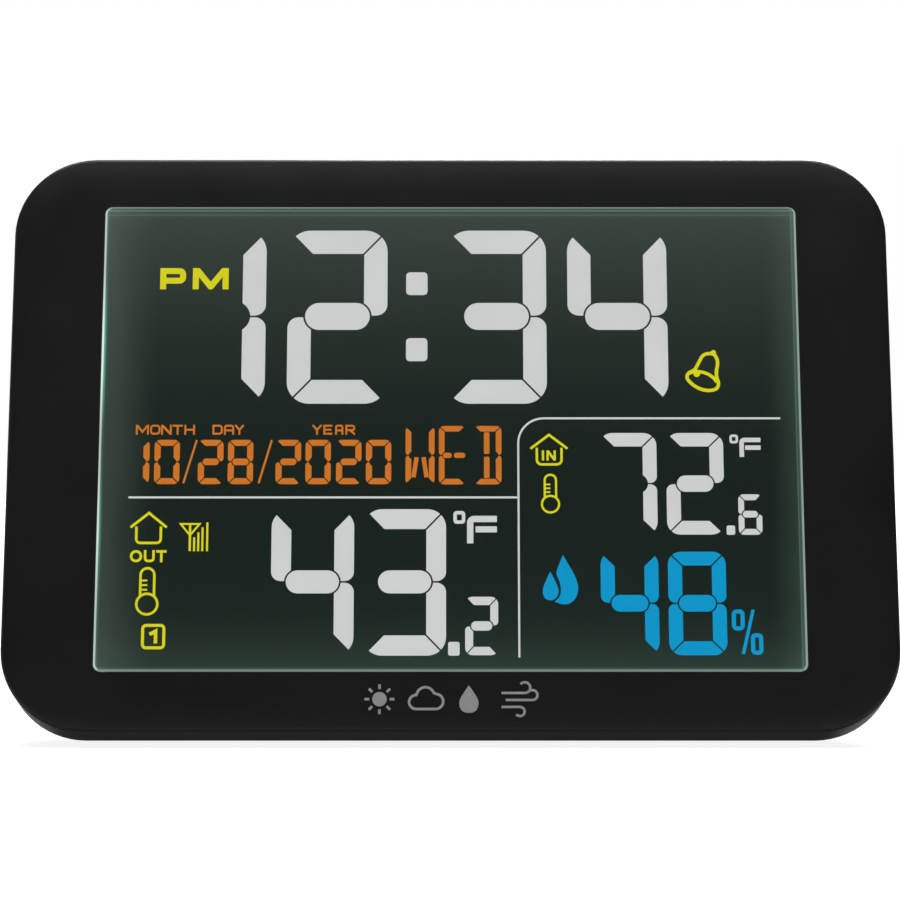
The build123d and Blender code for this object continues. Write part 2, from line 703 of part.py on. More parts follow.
def receiver_board():
    """Radio receiver module for the outdoor sensor."""
    return slab(RECEIVER_X, RECEIVER_Y, RECEIVER_Z)


def receiver_header():
    """Pins between the main board and the receiver."""
    return header_pins(RECEIVER_PINS_X, RECEIVER_PINS_Z, RECEIVER_Y[0])


def antenna_wire():
    """Coiled aerial of the receiver."""
    return coil(AERIAL_TURNS, AERIAL_R, AERIAL_WIRE_R, AERIAL_X, AERIAL_Y, AERIAL_Z)


# ---- Batteries ----
def cell_span(index):
    """Low and high X of a cell's can, which lies the other way round in the middle bay."""
    spring_side = -BAY_HALF_W + CONTACT_THICK + SPRING_LENGTH
    span = (spring_side, spring_side + CELL_LENGTH)
    return (-span[1], -span[0]) if index == 1 else span


def battery(index):
    """AAA cell with its positive stud."""
    low, high = cell_span(index)
    stud = 0.9
    flip = index == 1
    can = (low + stud, high) if flip else (low, high - stud)
    cell = bar_x(CELL_R, can, CELL_Y, CELL_Z[index])
    cell = fillet(cell.edges().filter_by(GeomType.CIRCLE), 0.4)
    tip = (low, low + stud + 0.2) if flip else (high - stud - 0.2, high)
    return cell + bar_x(1.9, tip, CELL_Y, CELL_Z[index])


def battery_springs():
    """Coil spring at each cell's negative end."""
    springs = []
    for index in range(3):
        low, high = cell_span(index)
        wall = BAY_HALF_W - CONTACT_THICK
        reach = (high, wall) if index == 1 else (-wall, low)
        springs.append(coil(4, 3.0, 0.3, reach, CELL_Y, CELL_Z[index]))
    return springs


def battery_plates():
    """Sprung metal contacts on the end walls of the bay."""
    plates = []
    wall = BAY_HALF_W
    for index in range(3):
        z = (CELL_Z[index] - 4.0, CELL_Z[index] + 4.0)
        low, high = cell_span(index)
        for side in (-1, 1):
            xs = sorted((side * wall, side * (wall - CONTACT_THICK)))
            contact = slab(xs, (16.2, 24.6), z)
            studded = side == (-1 if index == 1 else 1)
            if studded:
                dimple = (-wall, low) if index == 1 else (high, wall)
                contact += bar_x(1.6, dimple, CELL_Y, CELL_Z[index])
            plates.append(contact)
    return plates


def battery_lead(side):
    """Wire from the end of the bay to the main board."""
    wall = BAY_HALF_W + BAY_WALL
    z = CELL_Z[0] if side < 0 else CELL_Z[2]
    end = (side * (wall + 7), BOARD_BACK, z)
    return wire([(side * wall, 18.0, z), (side * (wall + 7), 18.0, z), end], 0.6, 2.5)


def battery_door():
    """Flat door with a rounded pivot edge, two end pins and grip grooves."""
    heights = (DOOR_PIVOT_Z, DOOR_Z[1])
    door = slab((-DOOR_HALF_W, DOOR_HALF_W), DOOR_Y, heights)
    door = fillet(door.edges().filter_by(Axis.Y).group_by(Axis.Z)[-1], 2.0)
    door += bar_x(DOOR_PIVOT_R, (-DOOR_HALF_W, DOOR_HALF_W), DOOR_PIVOT_Y, DOOR_PIVOT_Z)
    reach = DOOR_HALF_W + DOOR_GAP + 0.9
    door += bar_x(DOOR_PIN_R, (-reach, reach), DOOR_PIVOT_Y, DOOR_PIVOT_Z)
    for step in range(4):
        door -= pill(18.0 - 3 * step, 0.9, (DOOR_Y[1] - 0.4, DEPTH), 0, DOOR_Z[1] - 5.0 - 2.2 * step)
    return door


# ---- Moving controls ----
def rear_button(x, z):
    """Button cap with a skirt behind the cover and a stem to its switch."""
    cap = pill(*BUTTON_SIZE, (BUTTON_SKIRT_Y[0], DEPTH + BUTTON_PROUD), x, z)
    cap = fillet(cap.faces().sort_by(Axis.Y)[-1].edges(), 0.5)
    skirt = (BUTTON_SIZE[0] + 2 * BUTTON_SKIRT, BUTTON_SIZE[1] + 2 * BUTTON_SKIRT)
    cap += pill(*skirt, BUTTON_SKIRT_Y, x, z)
    return cap + bar_y(1.8, x, (PLUNGER_Y[1], BUTTON_SKIRT_Y[0]), z)


def plunger(x, z):
    """Plunger of one rear switch."""
    return bar_y(PLUNGER_R, x, PLUNGER_Y, z)


def snooze_button():
    """Long bar button in the top edge of the bezel."""
    outline = Pos(0, SNOOZE_Y, SNOOZE_FLOOR) * SlotOverall(SNOOZE_LENGTH, SNOOZE_WIDTH)
    bar = extrude(outline, amount=HEIGHT + SNOOZE_PROUD - SNOOZE_FLOOR)
    bar = fillet(bar.faces().sort_by(Axis.Z)[-1].edges(), 0.5)
    half = SNOOZE_LENGTH / 2 + 1.2
    return bar + slab((-half, half), SNOOZE_SKIRT_Y, SNOOZE_SKIRT_Z)


def snooze_plunger():
    """Plunger of the switch under the top bar."""
    return bar_z(SNOOZE_PLUNGER_R, 0, SNOOZE_Y, SNOOZE_PLUNGER_Z)


# ---- Folding leg ----
def leg_length():
    """Distance from the hinge axis to the centre of the leg's round foot."""
    rise = -HINGE_Y * SIN + HINGE_Z * COS - TABLE_Z
    return (rise - LEG_FOOT_R) / math.cos(math.radians(LEG_OPEN_REAR))


def leg_foot_centre():
    """Depth and height of the foot's centre with the leg folded away."""
    across = LEG_MID_Y - HINGE_Y
    return LEG_MID_Y, HINGE_Z - math.sqrt(leg_length() ** 2 - across ** 2)


def open_leg(shape):
    """Swing a shape drawn on the folded leg out to its open stop."""
    across = math.degrees(math.atan2(LEG_MID_Y - HINGE_Y, HINGE_Z - leg_foot_centre()[1]))
    swing = Rot(X=LEG_SWING - across)
    return Pos(0, HINGE_Y, HINGE_Z) * swing * Pos(0, -HINGE_Y, -HINGE_Z) * shape


def leg():
    """Folding leg: a plate with a window, a hinge barrel and two ribs."""
    low = leg_foot_centre()[1] + LEG_FOOT_R
    half = LEG_HALF_W
    plate_y = (LEG_FACE_Y - LEG_THICK, LEG_FACE_Y)
    body = slab((-half, half), plate_y, (low, HINGE_Z))
    window = plate(36.0, 22.0, 4.0, (plate_y[0] - 1, plate_y[1] + 1), z=(low + HINGE_Z) / 2 - 1)
    body -= window
    body += bar_x(HINGE_R, (-half, half), HINGE_Y, HINGE_Z)
    for x in (-24.0, 24.0):
        body += slab((x - 0.8, x + 0.8), (plate_y[0] - 1.6, plate_y[0]), (low + 6, HINGE_Z - 4))
    for side in (-1, 1):
        bore = sorted((side * (HINGE_PIN_X[0] - 0.3), side * (half + 1)))
        body -= bar_x(HINGE_PIN_R + HINGE_PIN_CLEAR, bore, HINGE_Y, HINGE_Z)
    return open_leg(body)


def leg_foot():
    """Rubber strip with a round edge along the end of the leg."""
    depth, height = leg_foot_centre()
    half = LEG_HALF_W - 1.0
    flat = slab((-half, half), (depth - LEG_FOOT_R, depth + LEG_FOOT_R), (height, height + LEG_FOOT_R))
    return open_leg(flat + bar_x(LEG_FOOT_R, (-half, half), depth, height))


def hinge_pin(side):
    """Steel pin fixed in the side of the recess."""
    return bar_x(HINGE_PIN_R, sorted((side * HINGE_PIN_X[0], side * HINGE_PIN_X[1])), HINGE_Y, HINGE_Z)


# ---- All pieces by name ----
def controls():
    """The six rear buttons and their plungers by name."""
    pieces = {}
    for side, x in (("left", -BUTTON_X), ("right", BUTTON_X)):
        for name, z in zip(BUTTON_NAMES, BUTTON_Z):
            pieces[f"button_{side}_{name}"] = rear_button(x, z)
            pieces[f"plunger_{side}_{name}"] = plunger(x, z)
    return pieces


def display_pieces():
    """The lens and every layer of the display by name."""
    full = (REAR_GLASS_BOTTOM + 0.2, GLASS_TOP - 0.2)
    ledge = (FRONT_GLASS_BOTTOM, GLASS_TOP)
    return {
        "display_lens": display_lens(),
        "lens_gasket": lens_gasket(),
        "front_polarizer": layer(GLASS_HALF_W - 0.4, (REAR_GLASS_BOTTOM, GLASS_TOP - 0.4), FRONT_POLARIZER_Y),
        "lcd_front_glass": layer(GLASS_HALF_W, ledge, FRONT_GLASS_Y),
        "lcd_rear_glass": layer(GLASS_HALF_W, (REAR_GLASS_BOTTOM, GLASS_TOP), REAR_GLASS_Y),
        "rear_polarizer": layer(GLASS_HALF_W - 0.4, full, REAR_POLARIZER_Y),
        "diffuser_film": layer(GUIDE_HALF_W, full, DIFFUSER_Y),
        "light_guide": layer(GUIDE_HALF_W, full, GUIDE_Y),
        "reflector_sheet": layer(GUIDE_HALF_W, full, REFLECTOR_Y),
        "backlight_strip": backlight_strip(),
        "backlight_leds": backlight_leds(),
        "lcd_frame": lcd_frame(),
        "zebra_strips": zebra_strips(),
    }


def board_pieces():
    """The main board and what it carries by name."""
    return {
        "main_board": main_board(),
        "board_screws": board_screws(),
        "controller_chip": controller_chip(),
        "quartz_crystal": quartz_crystal(),
        "board_parts": board_parts(),
        "button_switches": button_switches(),
        "dc_jack": dc_jack(),
        "jack_contact_pin": jack_contact_pin(),
        "buzzer": buzzer(),
        "sensor_board": sensor_board(),
        "sensor_header": sensor_header(),
        "humidity_sensor": humidity_sensor(),
        "receiver_board": receiver_board(),
        "receiver_header": receiver_header(),
        "antenna_wire": antenna_wire(),
    }


def case_pieces():
    """The case, the batteries, the feet and the leg by name."""
    return {
        "front_bezel": front_bezel(),
        "rear_cover": rear_cover(),
        "case_screws": case_screws(),
        "foot_left": foot_pad(-FOOT_X),
        "foot_right": foot_pad(FOOT_X),
        "battery_1": battery(0),
        "battery_2": battery(1),
        "battery_3": battery(2),
        "battery_springs": battery_springs(),
        "battery_plates": battery_plates(),
        "battery_lead_red": battery_lead(1),
        "battery_lead_black": battery_lead(-1),
        "battery_door": battery_door(),
        "hinge_pin_left": hinge_pin(-1),
        "hinge_pin_right": hinge_pin(1),
        "stand_leg": leg(),
        "stand_foot": leg_foot(),
        "snooze_button": snooze_button(),
        "snooze_plunger": snooze_plunger(),
    }


def solids_of(piece):
    """All separate solids of a piece, which may be one shape or a list of shapes."""
    shapes = piece if isinstance(piece, list) else [piece]
    return [solid for shape in shapes for solid in shape.solids()]


def place(pieces):
    """Lean every piece back and set the origin at the bottom centre of the whole box."""
    leaning = {name: [Rot(X=-LEAN) * solid for solid in solids_of(piece)] for name, piece in pieces.items()}
    boxes = [solid.bounding_box() for solids in leaning.values() for solid in solids]
    middle_y = (min(box.min.Y for box in boxes) + max(box.max.Y for box in boxes)) / 2
    shift = Pos(0, -middle_y, -TABLE_Z)
    print(f"shift from the leaning frame: y {-middle_y:.4f}, z {-TABLE_Z:.4f}")
    return {name: [shift * solid for solid in solids] for name, solids in leaning.items()}


def main():
    pieces = {**case_pieces(), **display_pieces(), **board_pieces(), **controls()}
    os.makedirs("parts", exist_ok=True)
    for name, solids in place(pieces).items():
        shape = solids[0] if len(solids) == 1 else Compound(solids)
        export_step(shape, f"parts/{name}.step")
    print(f"{len(pieces)} nodes written")


main()
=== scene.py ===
"""Looks of the weather station: plastics, lens, lit readout and prints, with floor, lights and camera."""

import math

import bpy
import bmesh
from mathutils import Matrix, Vector
from mathutils.geometry import tessellate_polygon


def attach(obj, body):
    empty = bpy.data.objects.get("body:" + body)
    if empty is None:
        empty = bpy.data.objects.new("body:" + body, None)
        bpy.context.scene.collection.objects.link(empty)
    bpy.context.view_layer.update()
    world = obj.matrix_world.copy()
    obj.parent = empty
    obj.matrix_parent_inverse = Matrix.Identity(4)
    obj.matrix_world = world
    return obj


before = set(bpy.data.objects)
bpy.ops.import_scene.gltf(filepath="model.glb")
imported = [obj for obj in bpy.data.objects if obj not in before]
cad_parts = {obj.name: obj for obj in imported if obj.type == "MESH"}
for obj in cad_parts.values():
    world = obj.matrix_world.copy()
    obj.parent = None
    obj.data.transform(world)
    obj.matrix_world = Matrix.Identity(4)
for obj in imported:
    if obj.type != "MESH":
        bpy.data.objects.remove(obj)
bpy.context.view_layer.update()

# ----------------------------------------------------------------------
# Sizes and places. Lengths are millimetres, and MM turns them into Blender's metres.
# ----------------------------------------------------------------------
MM = 0.001
LEAN = math.radians(17.0)      # the whole case leans back from upright
READOUT_DROP = 4.0             # readout heights count from a line this far below the lens centre
LENS_HALF_WIDTH = 85.85        # from the middle to the lens's side edges
LENS_HALF_HEIGHT = 58.85
LENS_CORNER = 1.9
LENS_CHAMFER = 0.4
RIM_REACH = 1.85               # the painted highlight along a lens edge fades out this far in from the edge, and is full from here outwards
RIM_FULL = 0.55                # and is full from here outwards
READOUT_FRONT = 4.05           # the lit shapes lie between the lens and the front polarizer
READOUT_BACK = 4.17
STROKE_STEP = 0.008            # each further stroke of a sign lies this much deeper, so no faces coincide
PRINT_PROUD = 0.06             # ink and foil stand this far out of the plastic
PRINT_SUNK = 0.05
ARC_STEP = math.radians(9.0)   # round corners are drawn in steps of this angle
SMOOTH_STEPS = 6               # and flowing curves in this many steps between two points

CAMERA_DISTANCE = 0.8104       # from the middle of the face
CAMERA_RISE = math.radians(2.0)
CAMERA_LENS = 132.8
CAMERA_SIDE = -0.12            # the camera aims this far from the readout line's middle, in mm: left,
CAMERA_LIFT = 0.12             # and up
ROOM_GREY = 0.024              # how bright the white room is in reflections and the floor around the object and the floor under it, darker as painted shade
FLOOR_GREY = 0.22              # and the floor around the object
FLOOR_SHADE = 0.06             # and the floor under it
LAMP_HEIGHTS = (25.0, -20.0)   # the painted lamp light on the lens rim is brightest at these heights along its left edge


def srgb(red, green, blue):
    """A colour given as 0 to 255 screen values, as linear RGBA."""

    def linear(value):
        value = value / 255.0
        if value <= 0.04045:
            return value / 12.92
        return ((value + 0.055) / 1.055) ** 2.4

    return (linear(red), linear(green), linear(blue), 1.0)


def face_frame():
    """The leaning face's own axes, in millimetres: X right, Y into the case, Z up from the readout line."""
    turn = Matrix.Rotation(-LEAN, 4, "X")
    upright = turn.inverted()
    points = [upright @ vertex.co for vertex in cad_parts["display_lens"].data.vertices]
    front = min(point.y for point in points)
    heights = [point.z for point in points]
    middle = (min(heights) + max(heights)) / 2
    origin = turn @ Vector((0.0, front, middle - READOUT_DROP * MM))
    return Matrix.Translation(origin) @ turn @ Matrix.Scale(MM, 4)


FACE = face_frame()


# ----------------------------------------------------------------------
# Flat shapes. A loop is a list of (x, height) points; a shape is an outline loop followed by its holes.
# ----------------------------------------------------------------------
def arc(centre_x, centre_h, radius, start, end):
    """Points along a circular arc between two angles in degrees."""
    turn = math.radians(end - start)
    steps = max(2, math.ceil(abs(turn) / ARC_STEP))
    angles = [math.radians(start) + turn * i / steps for i in range(steps + 1)]
    return [(centre_x + radius * math.cos(a), centre_h + radius * math.sin(a)) for a in angles]


def disc(centre_x, centre_h, radius):
    return [arc(centre_x, centre_h, radius, 0, 360)[:-1]]


def box(left, right, low, high, radius=0.0):
    """A rectangle, with round corners where a radius is given."""
    if radius <= 0:
        return [[(left, low), (right, low), (right, high), (left, high)]]
    loop = arc(right - radius, low + radius, radius, -90, 0)
    loop += arc(right - radius, high - radius, radius, 0, 90)
    loop += arc(left + radius, high - radius, radius, 90, 180)
    loop += arc(left + radius, low + radius, radius, 180, 270)
    return [loop]


def ring(left, right, low, high, radius, stroke):
    """A round-cornered frame of even stroke."""
    outer = box(left, right, low, high, radius)[0]
    inner_radius = max(radius - stroke, 0.05)
    inner = box(left + stroke, right - stroke, low + stroke, high - stroke, inner_radius)[0]
    return [outer, inner]


def rounded(path, closed=False):
    """A path whose corners (x, height, radius) are drawn as arcs; a corner without a radius stays sharp."""
    points = [tuple(p) + (0.0,) * (3 - len(p)) for p in path]
    result = []
    count = len(points)
    for i, (x, h, radius) in enumerate(points):
        inner_point = closed or 0 < i < count - 1
        if radius <= 0 or not inner_point:
            result.append((x, h))
            continue
        here = Vector((x, h))
        before = (Vector(points[i - 1][:2]) - here).normalized()
        after = (Vector(points[(i + 1) % count][:2]) - here).normalized()
        half = before.angle(after) / 2
        neighbours = (points[i - 1], points[(i + 1) % count])
        near = min((Vector(point[:2]) - here).length for point in neighbours)
        radius = min(radius, 0.49 * near * math.tan(half))
        reach = radius / math.tan(half)
        centre = here + (before + after).normalized() * (radius / math.sin(half))
        first = here + before * reach - centre
        last = here + after * reach - centre
        sweep = first.angle_signed(last)
        steps = max(2, math.ceil(abs(sweep) / ARC_STEP))
        for k in range(steps + 1):
            spun = Matrix.Rotation(-sweep * k / steps, 2) @ first
            result.append((centre.x + spun.x, centre.y + spun.y))
    return result


def smooth(path, closed=False):
    """A flowing curve through the points."""
    points = [Vector(p) for p in path]
    count = len(points)
    spans = count if closed else count - 1
    result = []
    for i in range(spans):
        if closed:
            p0, p1, p2, p3 = (points[(i + k) % count] for k in (-1, 0, 1, 2))
        else:
            p0, p1, p2, p3 = (points[min(max(i + k, 0), count - 1)] for k in (-1, 0, 1, 2))
        for k in range(SMOOTH_STEPS):
            t = k / SMOOTH_STEPS
            square = 2 * p0 - 5 * p1 + 4 * p2 - p3
            cube = 3 * p1 - p0 - 3 * p2 + p3
            point = 0.5 * (2 * p1 + (p2 - p0) * t + square * t * t + cube * t**3)
            result.append((point.x, point.y))
    if not closed:
        result.append(tuple(points[-1]))
    return result


def stroke(path, width, closed=False):
    """The shape that a pen of that width draws along a path, with mitred corners and square ends."""
    points = [Vector(p[:2]) for p in path]
    count = len(points)
    left_side = []
    right_side = []
    for i, point in enumerate(points):
        normals = []
        if closed or i > 0:
            along = (point - points[i - 1]).normalized()
            normals.append(Vector((-along.y, along.x)))
        if closed or i < count - 1:
            along = (points[(i + 1) % count] - point).normalized()
            normals.append(Vector((-along.y, along.x)))
        mitre = sum(normals, Vector((0, 0))).normalized()
        reach = width / 2 / max(mitre.dot(normals[0]), 0.35)
        left_side.append(tuple(point + mitre * reach))
        right_side.append(tuple(point - mitre * reach))
    if not closed:
        return [left_side + right_side[::-1]]

    def area(loop):
        return abs(sum(a[0] * b[1] - b[0] * a[1] for a, b in zip(loop, loop[1:] + loop[:1])))

    return sorted([left_side, right_side], key=area, reverse=True)


def moved(shape, x=0.0, h=0.0, turn=0.0):
    """The shape turned by some degrees about the origin, then shifted."""
    c, s = math.cos(math.radians(turn)), math.sin(math.radians(turn))
    return [[(x + px * c - ph * s, h + px * s + ph * c) for px, ph in loop] for loop in shape]


def plate(name, shapes, material, body, front, back):
    """One thin piece of flat shapes, each a closed solid between two depths. A shape may come with a step."""
    mesh = bpy.data.meshes.new(name)
    verts = []
    faces = []
    for shape in shapes:
        step = 0
        if isinstance(shape, tuple):
            shape, step = shape
        flat = [point for loop in shape for point in loop]
        base = len(verts)
        count = len(flat)
        near = front + step * STROKE_STEP
        far = back + step * STROKE_STEP
        verts += [(x, near, h) for x, h in flat]
        verts += [(x, far, h) for x, h in flat]
        for triangle in tessellate_polygon([[Vector((x, h, 0)) for x, h in loop] for loop in shape]):
            faces.append([base + i for i in triangle])
            faces.append([base + count + i for i in reversed(triangle)])
        start = base
        for loop in shape:
            size = len(loop)
            for i in range(size):
                a = start + i
                b = start + (i + 1) % size
                faces.append([a, b, b + count, a + count])
            start += size
    mesh.from_pydata(verts, [], faces)
    mesh.transform(FACE)
    solid = bmesh.new()
    solid.from_mesh(mesh)
    bmesh.ops.recalc_face_normals(solid, faces=solid.faces)
    solid.to_mesh(mesh)
    solid.free()
    mesh.materials.append(material)
    piece = bpy.data.objects.new(name, mesh)
    bpy.context.scene.collection.objects.link(piece)
    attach(piece, body)
    return piece


# ----------------------------------------------------------------------
# Seven-segment digits and the readout's letters
# ----------------------------------------------------------------------
SEGMENTS = {
    "0": "abcdef",
    "1": "bc",
    "2": "abged",
    "3": "abgcd",
    "4": "fgbc",
    "6": "afgedc",
    "7": "abc",
    "8": "abcdefg",
}


def segments(keys, left, low, wide, tall, middle, upright, level, bar):
    """Some of a digit's segments, a to g. middle is the centre bar's height; the last three are widths."""
    gap = 0.22 + 0.045 * upright
    corner = 0.95 * upright
    inset = 0.75 * upright
    notch = bar / 2 + gap
    notch_x = inset + bar / 2
    foot = min(0.48 * upright, inset - gap)
    lift = gap / 2
    trim = math.degrees(gap / 2 / corner)
    notch_turn = math.degrees(math.acos((upright - notch_x) / notch))
    notch_start = 180 - math.degrees(math.asin(lift / notch))

    def side(height):
        """An outer upright above the middle line, at the left: its round tip is at height."""
        loop = arc(corner, height - corner, corner, 135 + trim, 180)
        loop += arc(foot, lift + foot, foot, 180, 270)
        loop += arc(notch_x, 0, notch, notch_start, notch_turn)
        loop.append((upright, height - level - 0.7 * gap))
        return loop

    def cap(height):
        """The level bar at that height."""
        loop = arc(corner, height - corner, corner, 135 - trim, 90)
        loop += arc(wide - corner, height - corner, corner, 90, 45 + trim)
        loop.append((wide - upright - 0.7 * gap, height - level))
        loop.append((upright + 0.7 * gap, height - level))
        return loop

    above = low + tall - middle
    below = middle - low
    radius = bar / 2
    centre = arc(inset + radius, 0, radius, 90, 270) + arc(wide - inset - radius, 0, radius, -90, 90)
    local = {
        "a": cap(above),
        "b": [(wide - x, h) for x, h in side(above)],
        "c": [(wide - x, -h) for x, h in side(below)],
        "d": [(x, -h) for x, h in cap(below)],
        "e": [(x, -h) for x, h in side(below)],
        "f": side(above),
        "g": centre,
    }
    return [moved([local[key]], left, middle) for key in keys]


def digit(value, left, style):
    return segments(SEGMENTS[value], left, *style)


# Letters as pen paths in a unit cell; a third number is a corner's radius as a part of the cell's width.
LETTERS = {
    "A": [[(0, 0), (0, 1, 0.25), (1, 1, 0.25), (1, 0)], [(0, 0.42), (1, 0.42)]],
    "D": [[(0, 0), (0, 1), (1, 1, 0.3), (1, 0, 0.3), "closed"]],
    "E": [[(1, 0), (0, 0), (0, 1), (1, 1)], [(0, 0.5), (1, 0.5)]],
    "H": [[(0, 0), (0, 1)], [(1, 0), (1, 1)], [(0, 0.5), (1, 0.5)]],
    "I": [[(0.5, 0), (0.5, 1)]],
    "O": [[(0, 0, 0.3), (0, 1, 0.3), (1, 1, 0.3), (1, 0, 0.3), "closed"]],
    "o": [[(0, 0, 0.5), (0, 1, 0.5), (1, 1, 0.5), (1, 0, 0.5), "closed"]],
    "P": [[(0, 0), (0, 1)], [(0, 1), (1, 1, 0.18), (1, 0.37, 0.18), (0, 0.37)]],
    "R": [[(0, 0), (0, 1)], [(0, 1), (1, 1, 0.22), (1, 0.45, 0.22), (0, 0.45)], [(0.45, 0.45), (1, 0)]],
    "T": [[(0, 1), (1, 1)], [(0.5, 1), (0.5, 0)]],
    "U": [[(0, 1), (0, 0, 0.35), (1, 0, 0.35), (1, 1)]],
    "Y": [[(0, 1), (0.5, 0.48), (1, 1)], [(0.5, 0.48), (0.5, 0)]],
}


def letter_m(left, right, low, high, pen):
    """An M whose inner strokes meet at the base line if the pen is heavy, and above it if not."""
    dip = low + (0.0 if pen > 1.0 else 0.2 * (high - low))
    notch = dip + 1.3 * pen
    shoulder = high - 1.5 * pen
    middle = (left + right) / 2
    half = 0.3 * pen
    outline = [(left, low), (left, high), (left + 1.1 * pen, high), (middle, notch)]
    outline += [(right - 1.1 * pen, high), (right, high), (right, low), (right - pen, low)]
    outline += [(right - pen, shoulder), (middle + half, dip), (middle - half, dip)]
    outline += [(left + pen, shoulder), (left + pen, low)]
    return [[outline]]


def letter_n(left, right, low, high, pen):
    """An N with a straight diagonal."""
    slope = 1.7 * pen
    outline = [(left, low), (left, high), (left + 1.1 * pen, high), (right - pen, low + slope)]
    outline += [(right - pen, high), (right, high), (right, low), (right - 1.1 * pen, low)]
    outline += [(left + pen, high - slope), (left + pen, low)]
    return [[outline]]


def letter(sign, left, right, low, high, pen):
    """A letter drawn with a pen of that width, so that its outside fills the given cell."""
    if sign == "M":
        return letter_m(left, right, low, high, pen)
    if sign == "N":
        return letter_n(left, right, low, high, pen)
    wide = right - left - pen
    tall = high - low - pen
    shapes = []
    for step, path in enumerate(LETTERS[sign]):
        closed = path[-1] == "closed"
        corners = [corner for corner in path if corner != "closed"]
        placed = []
        for corner in corners:
            x, h, radius = (tuple(corner) + (0.0,))[:3]
            placed.append([left + pen / 2 + x * wide, low + pen / 2 + h * tall, radius * wide])
        if not closed:
            for end, inner in ((placed[0], placed[1]), (placed[-1], placed[-2])):
                away = (Vector(end[:2]) - Vector(inner[:2])).normalized() * pen / 2
                at_rim = min(abs(end[1] - pen / 2 - low), abs(end[1] + pen / 2 - high)) < 0.01
                if at_rim:
                    end[0] += away.x
                    end[1] += away.y
        shapes.append((stroke(rounded(placed, closed), pen, closed), step))
    return shapes


def word(text, cells, low, high, pen):
    """Several letters on one line, each with its own left and right edge."""
    shapes = []
    for sign, (left, right) in zip(text, cells):
        shapes += letter(sign, left, right, low, high, pen)
    return shapes


def house(apex, left, right, wall_left, wall_right, top, bottom, radius, pen):
    """A pitched roof over a round-cornered wall line."""
    roof = stroke([left, apex, right], pen)
    walls = [(wall_left, top), (wall_left, bottom, radius), (wall_right, bottom, radius), (wall_right, top)]
    return [roof, (stroke(rounded(walls), pen), 1)]


def thermometer(left, right, top, bulb, radius, pen, ticks, tick_left, tick_right, tick_pen):
    """An outlined thermometer: a tube with tick marks on a round bulb, whose centre is given."""
    half = (right - left - pen) / 2
    foot = bulb[1] + math.sqrt((radius - pen / 2) ** 2 - half**2)
    crown = arc(bulb[0], top - pen / 2 - half, half, 0, 180)
    tube = [(bulb[0] + half, foot)] + crown + [(bulb[0] - half, foot)]
    outer = disc(bulb[0], bulb[1], radius)
    inner = disc(bulb[0], bulb[1], radius - pen)
    shapes = [outer + inner, (stroke(tube, pen), 1)]
    shapes += [(box(tick_left, tick_right, h - tick_pen / 2, h + tick_pen / 2), 2) for h in ticks]
    return shapes


def degrees_fahrenheit(ring_box, ring_pen, corner, foot, right, pen, middle_left, middle_h, middle_pen):
    """The degree ring, then an F: stem and top bar in one stroke, and a middle bar that stands apart."""
    left, ring_right, low, high = ring_box
    bend = rounded([(corner[0], foot), (corner[0], corner[1], 0.62 * pen), (right, corner[1])])
    bar = box(middle_left, right, middle_h - middle_pen / 2, middle_h + middle_pen / 2, 0.15)
    return [ring(left, ring_right, low, high, 0.3 * (ring_right - left), ring_pen), stroke(bend, pen), bar]


def drop(x, top, half, low):
    """A teardrop with its point up. half is its half width."""
    tall = top - low
    side = [(0.0, 1.0), (0.5, 0.74), (0.88, 0.52), (1.0, 0.33), (0.82, 0.12), (0.42, 0.015), (0.0, 0.0)]
    right = smooth([(x + out * half, low + up * tall) for out, up in side])
    return [right + [(2 * x - px, ph) for px, ph in right[::-1]][1:-1]]


# ----------------------------------------------------------------------
# Materials
# ----------------------------------------------------------------------
def node(tree, kind, inputs=None, **settings):
    """A shader node with some inputs and settings filled in. An input given as a socket is linked."""
    made = tree.nodes.new("ShaderNode" + kind)
    for key, value in settings.items():
        setattr(made, key, value)
    for key, value in (inputs or {}).items():
        socket = made.inputs[key]
        if isinstance(value, bpy.types.NodeSocket):
            tree.links.new(value, socket)
        else:
            socket.default_value = value
    return made


def maths(tree, operation, first, second=0.0):
    return node(tree, "Math", {0: first, 1: second}, operation=operation).outputs[0]


def ramp(tree, value, low, high, start=0.0, end=1.0):
    """The value carried from low..high to start..end with soft ends."""
    inputs = {"Value": value, "From Min": low, "From Max": high, "To Min": start, "To Max": end}
    return node(tree, "MapRange", inputs, interpolation_type="SMOOTHSTEP").outputs[0]


def blend_colours(tree, factor, first, second, kind="MIX"):
    mixer = node(tree, "Mix", data_type="RGBA", blend_type=kind, clamp_factor=True)
    for socket, value in ((mixer.inputs[0], factor), (mixer.inputs[6], first), (mixer.inputs[7], second)):
        if isinstance(value, bpy.types.NodeSocket):
            tree.links.new(value, socket)
        else:
            socket.default_value = value
    return mixer.outputs[2]


def blank(name):
    """A new material with one Principled shader."""
    material = bpy.data.materials.new(name)
    material.use_nodes = True
    tree = material.node_tree
    return material, tree, tree.nodes["Principled BSDF"]


def noise(tree, where, size, detail=2.0, roughness=0.5):
    """Noise whose features are about that many millimetres across."""
    inputs = {"Vector": where, "Scale": 1.0 / (size * MM), "Detail": detail, "Roughness": roughness}
    return node(tree, "TexNoise", inputs).outputs["Fac"]


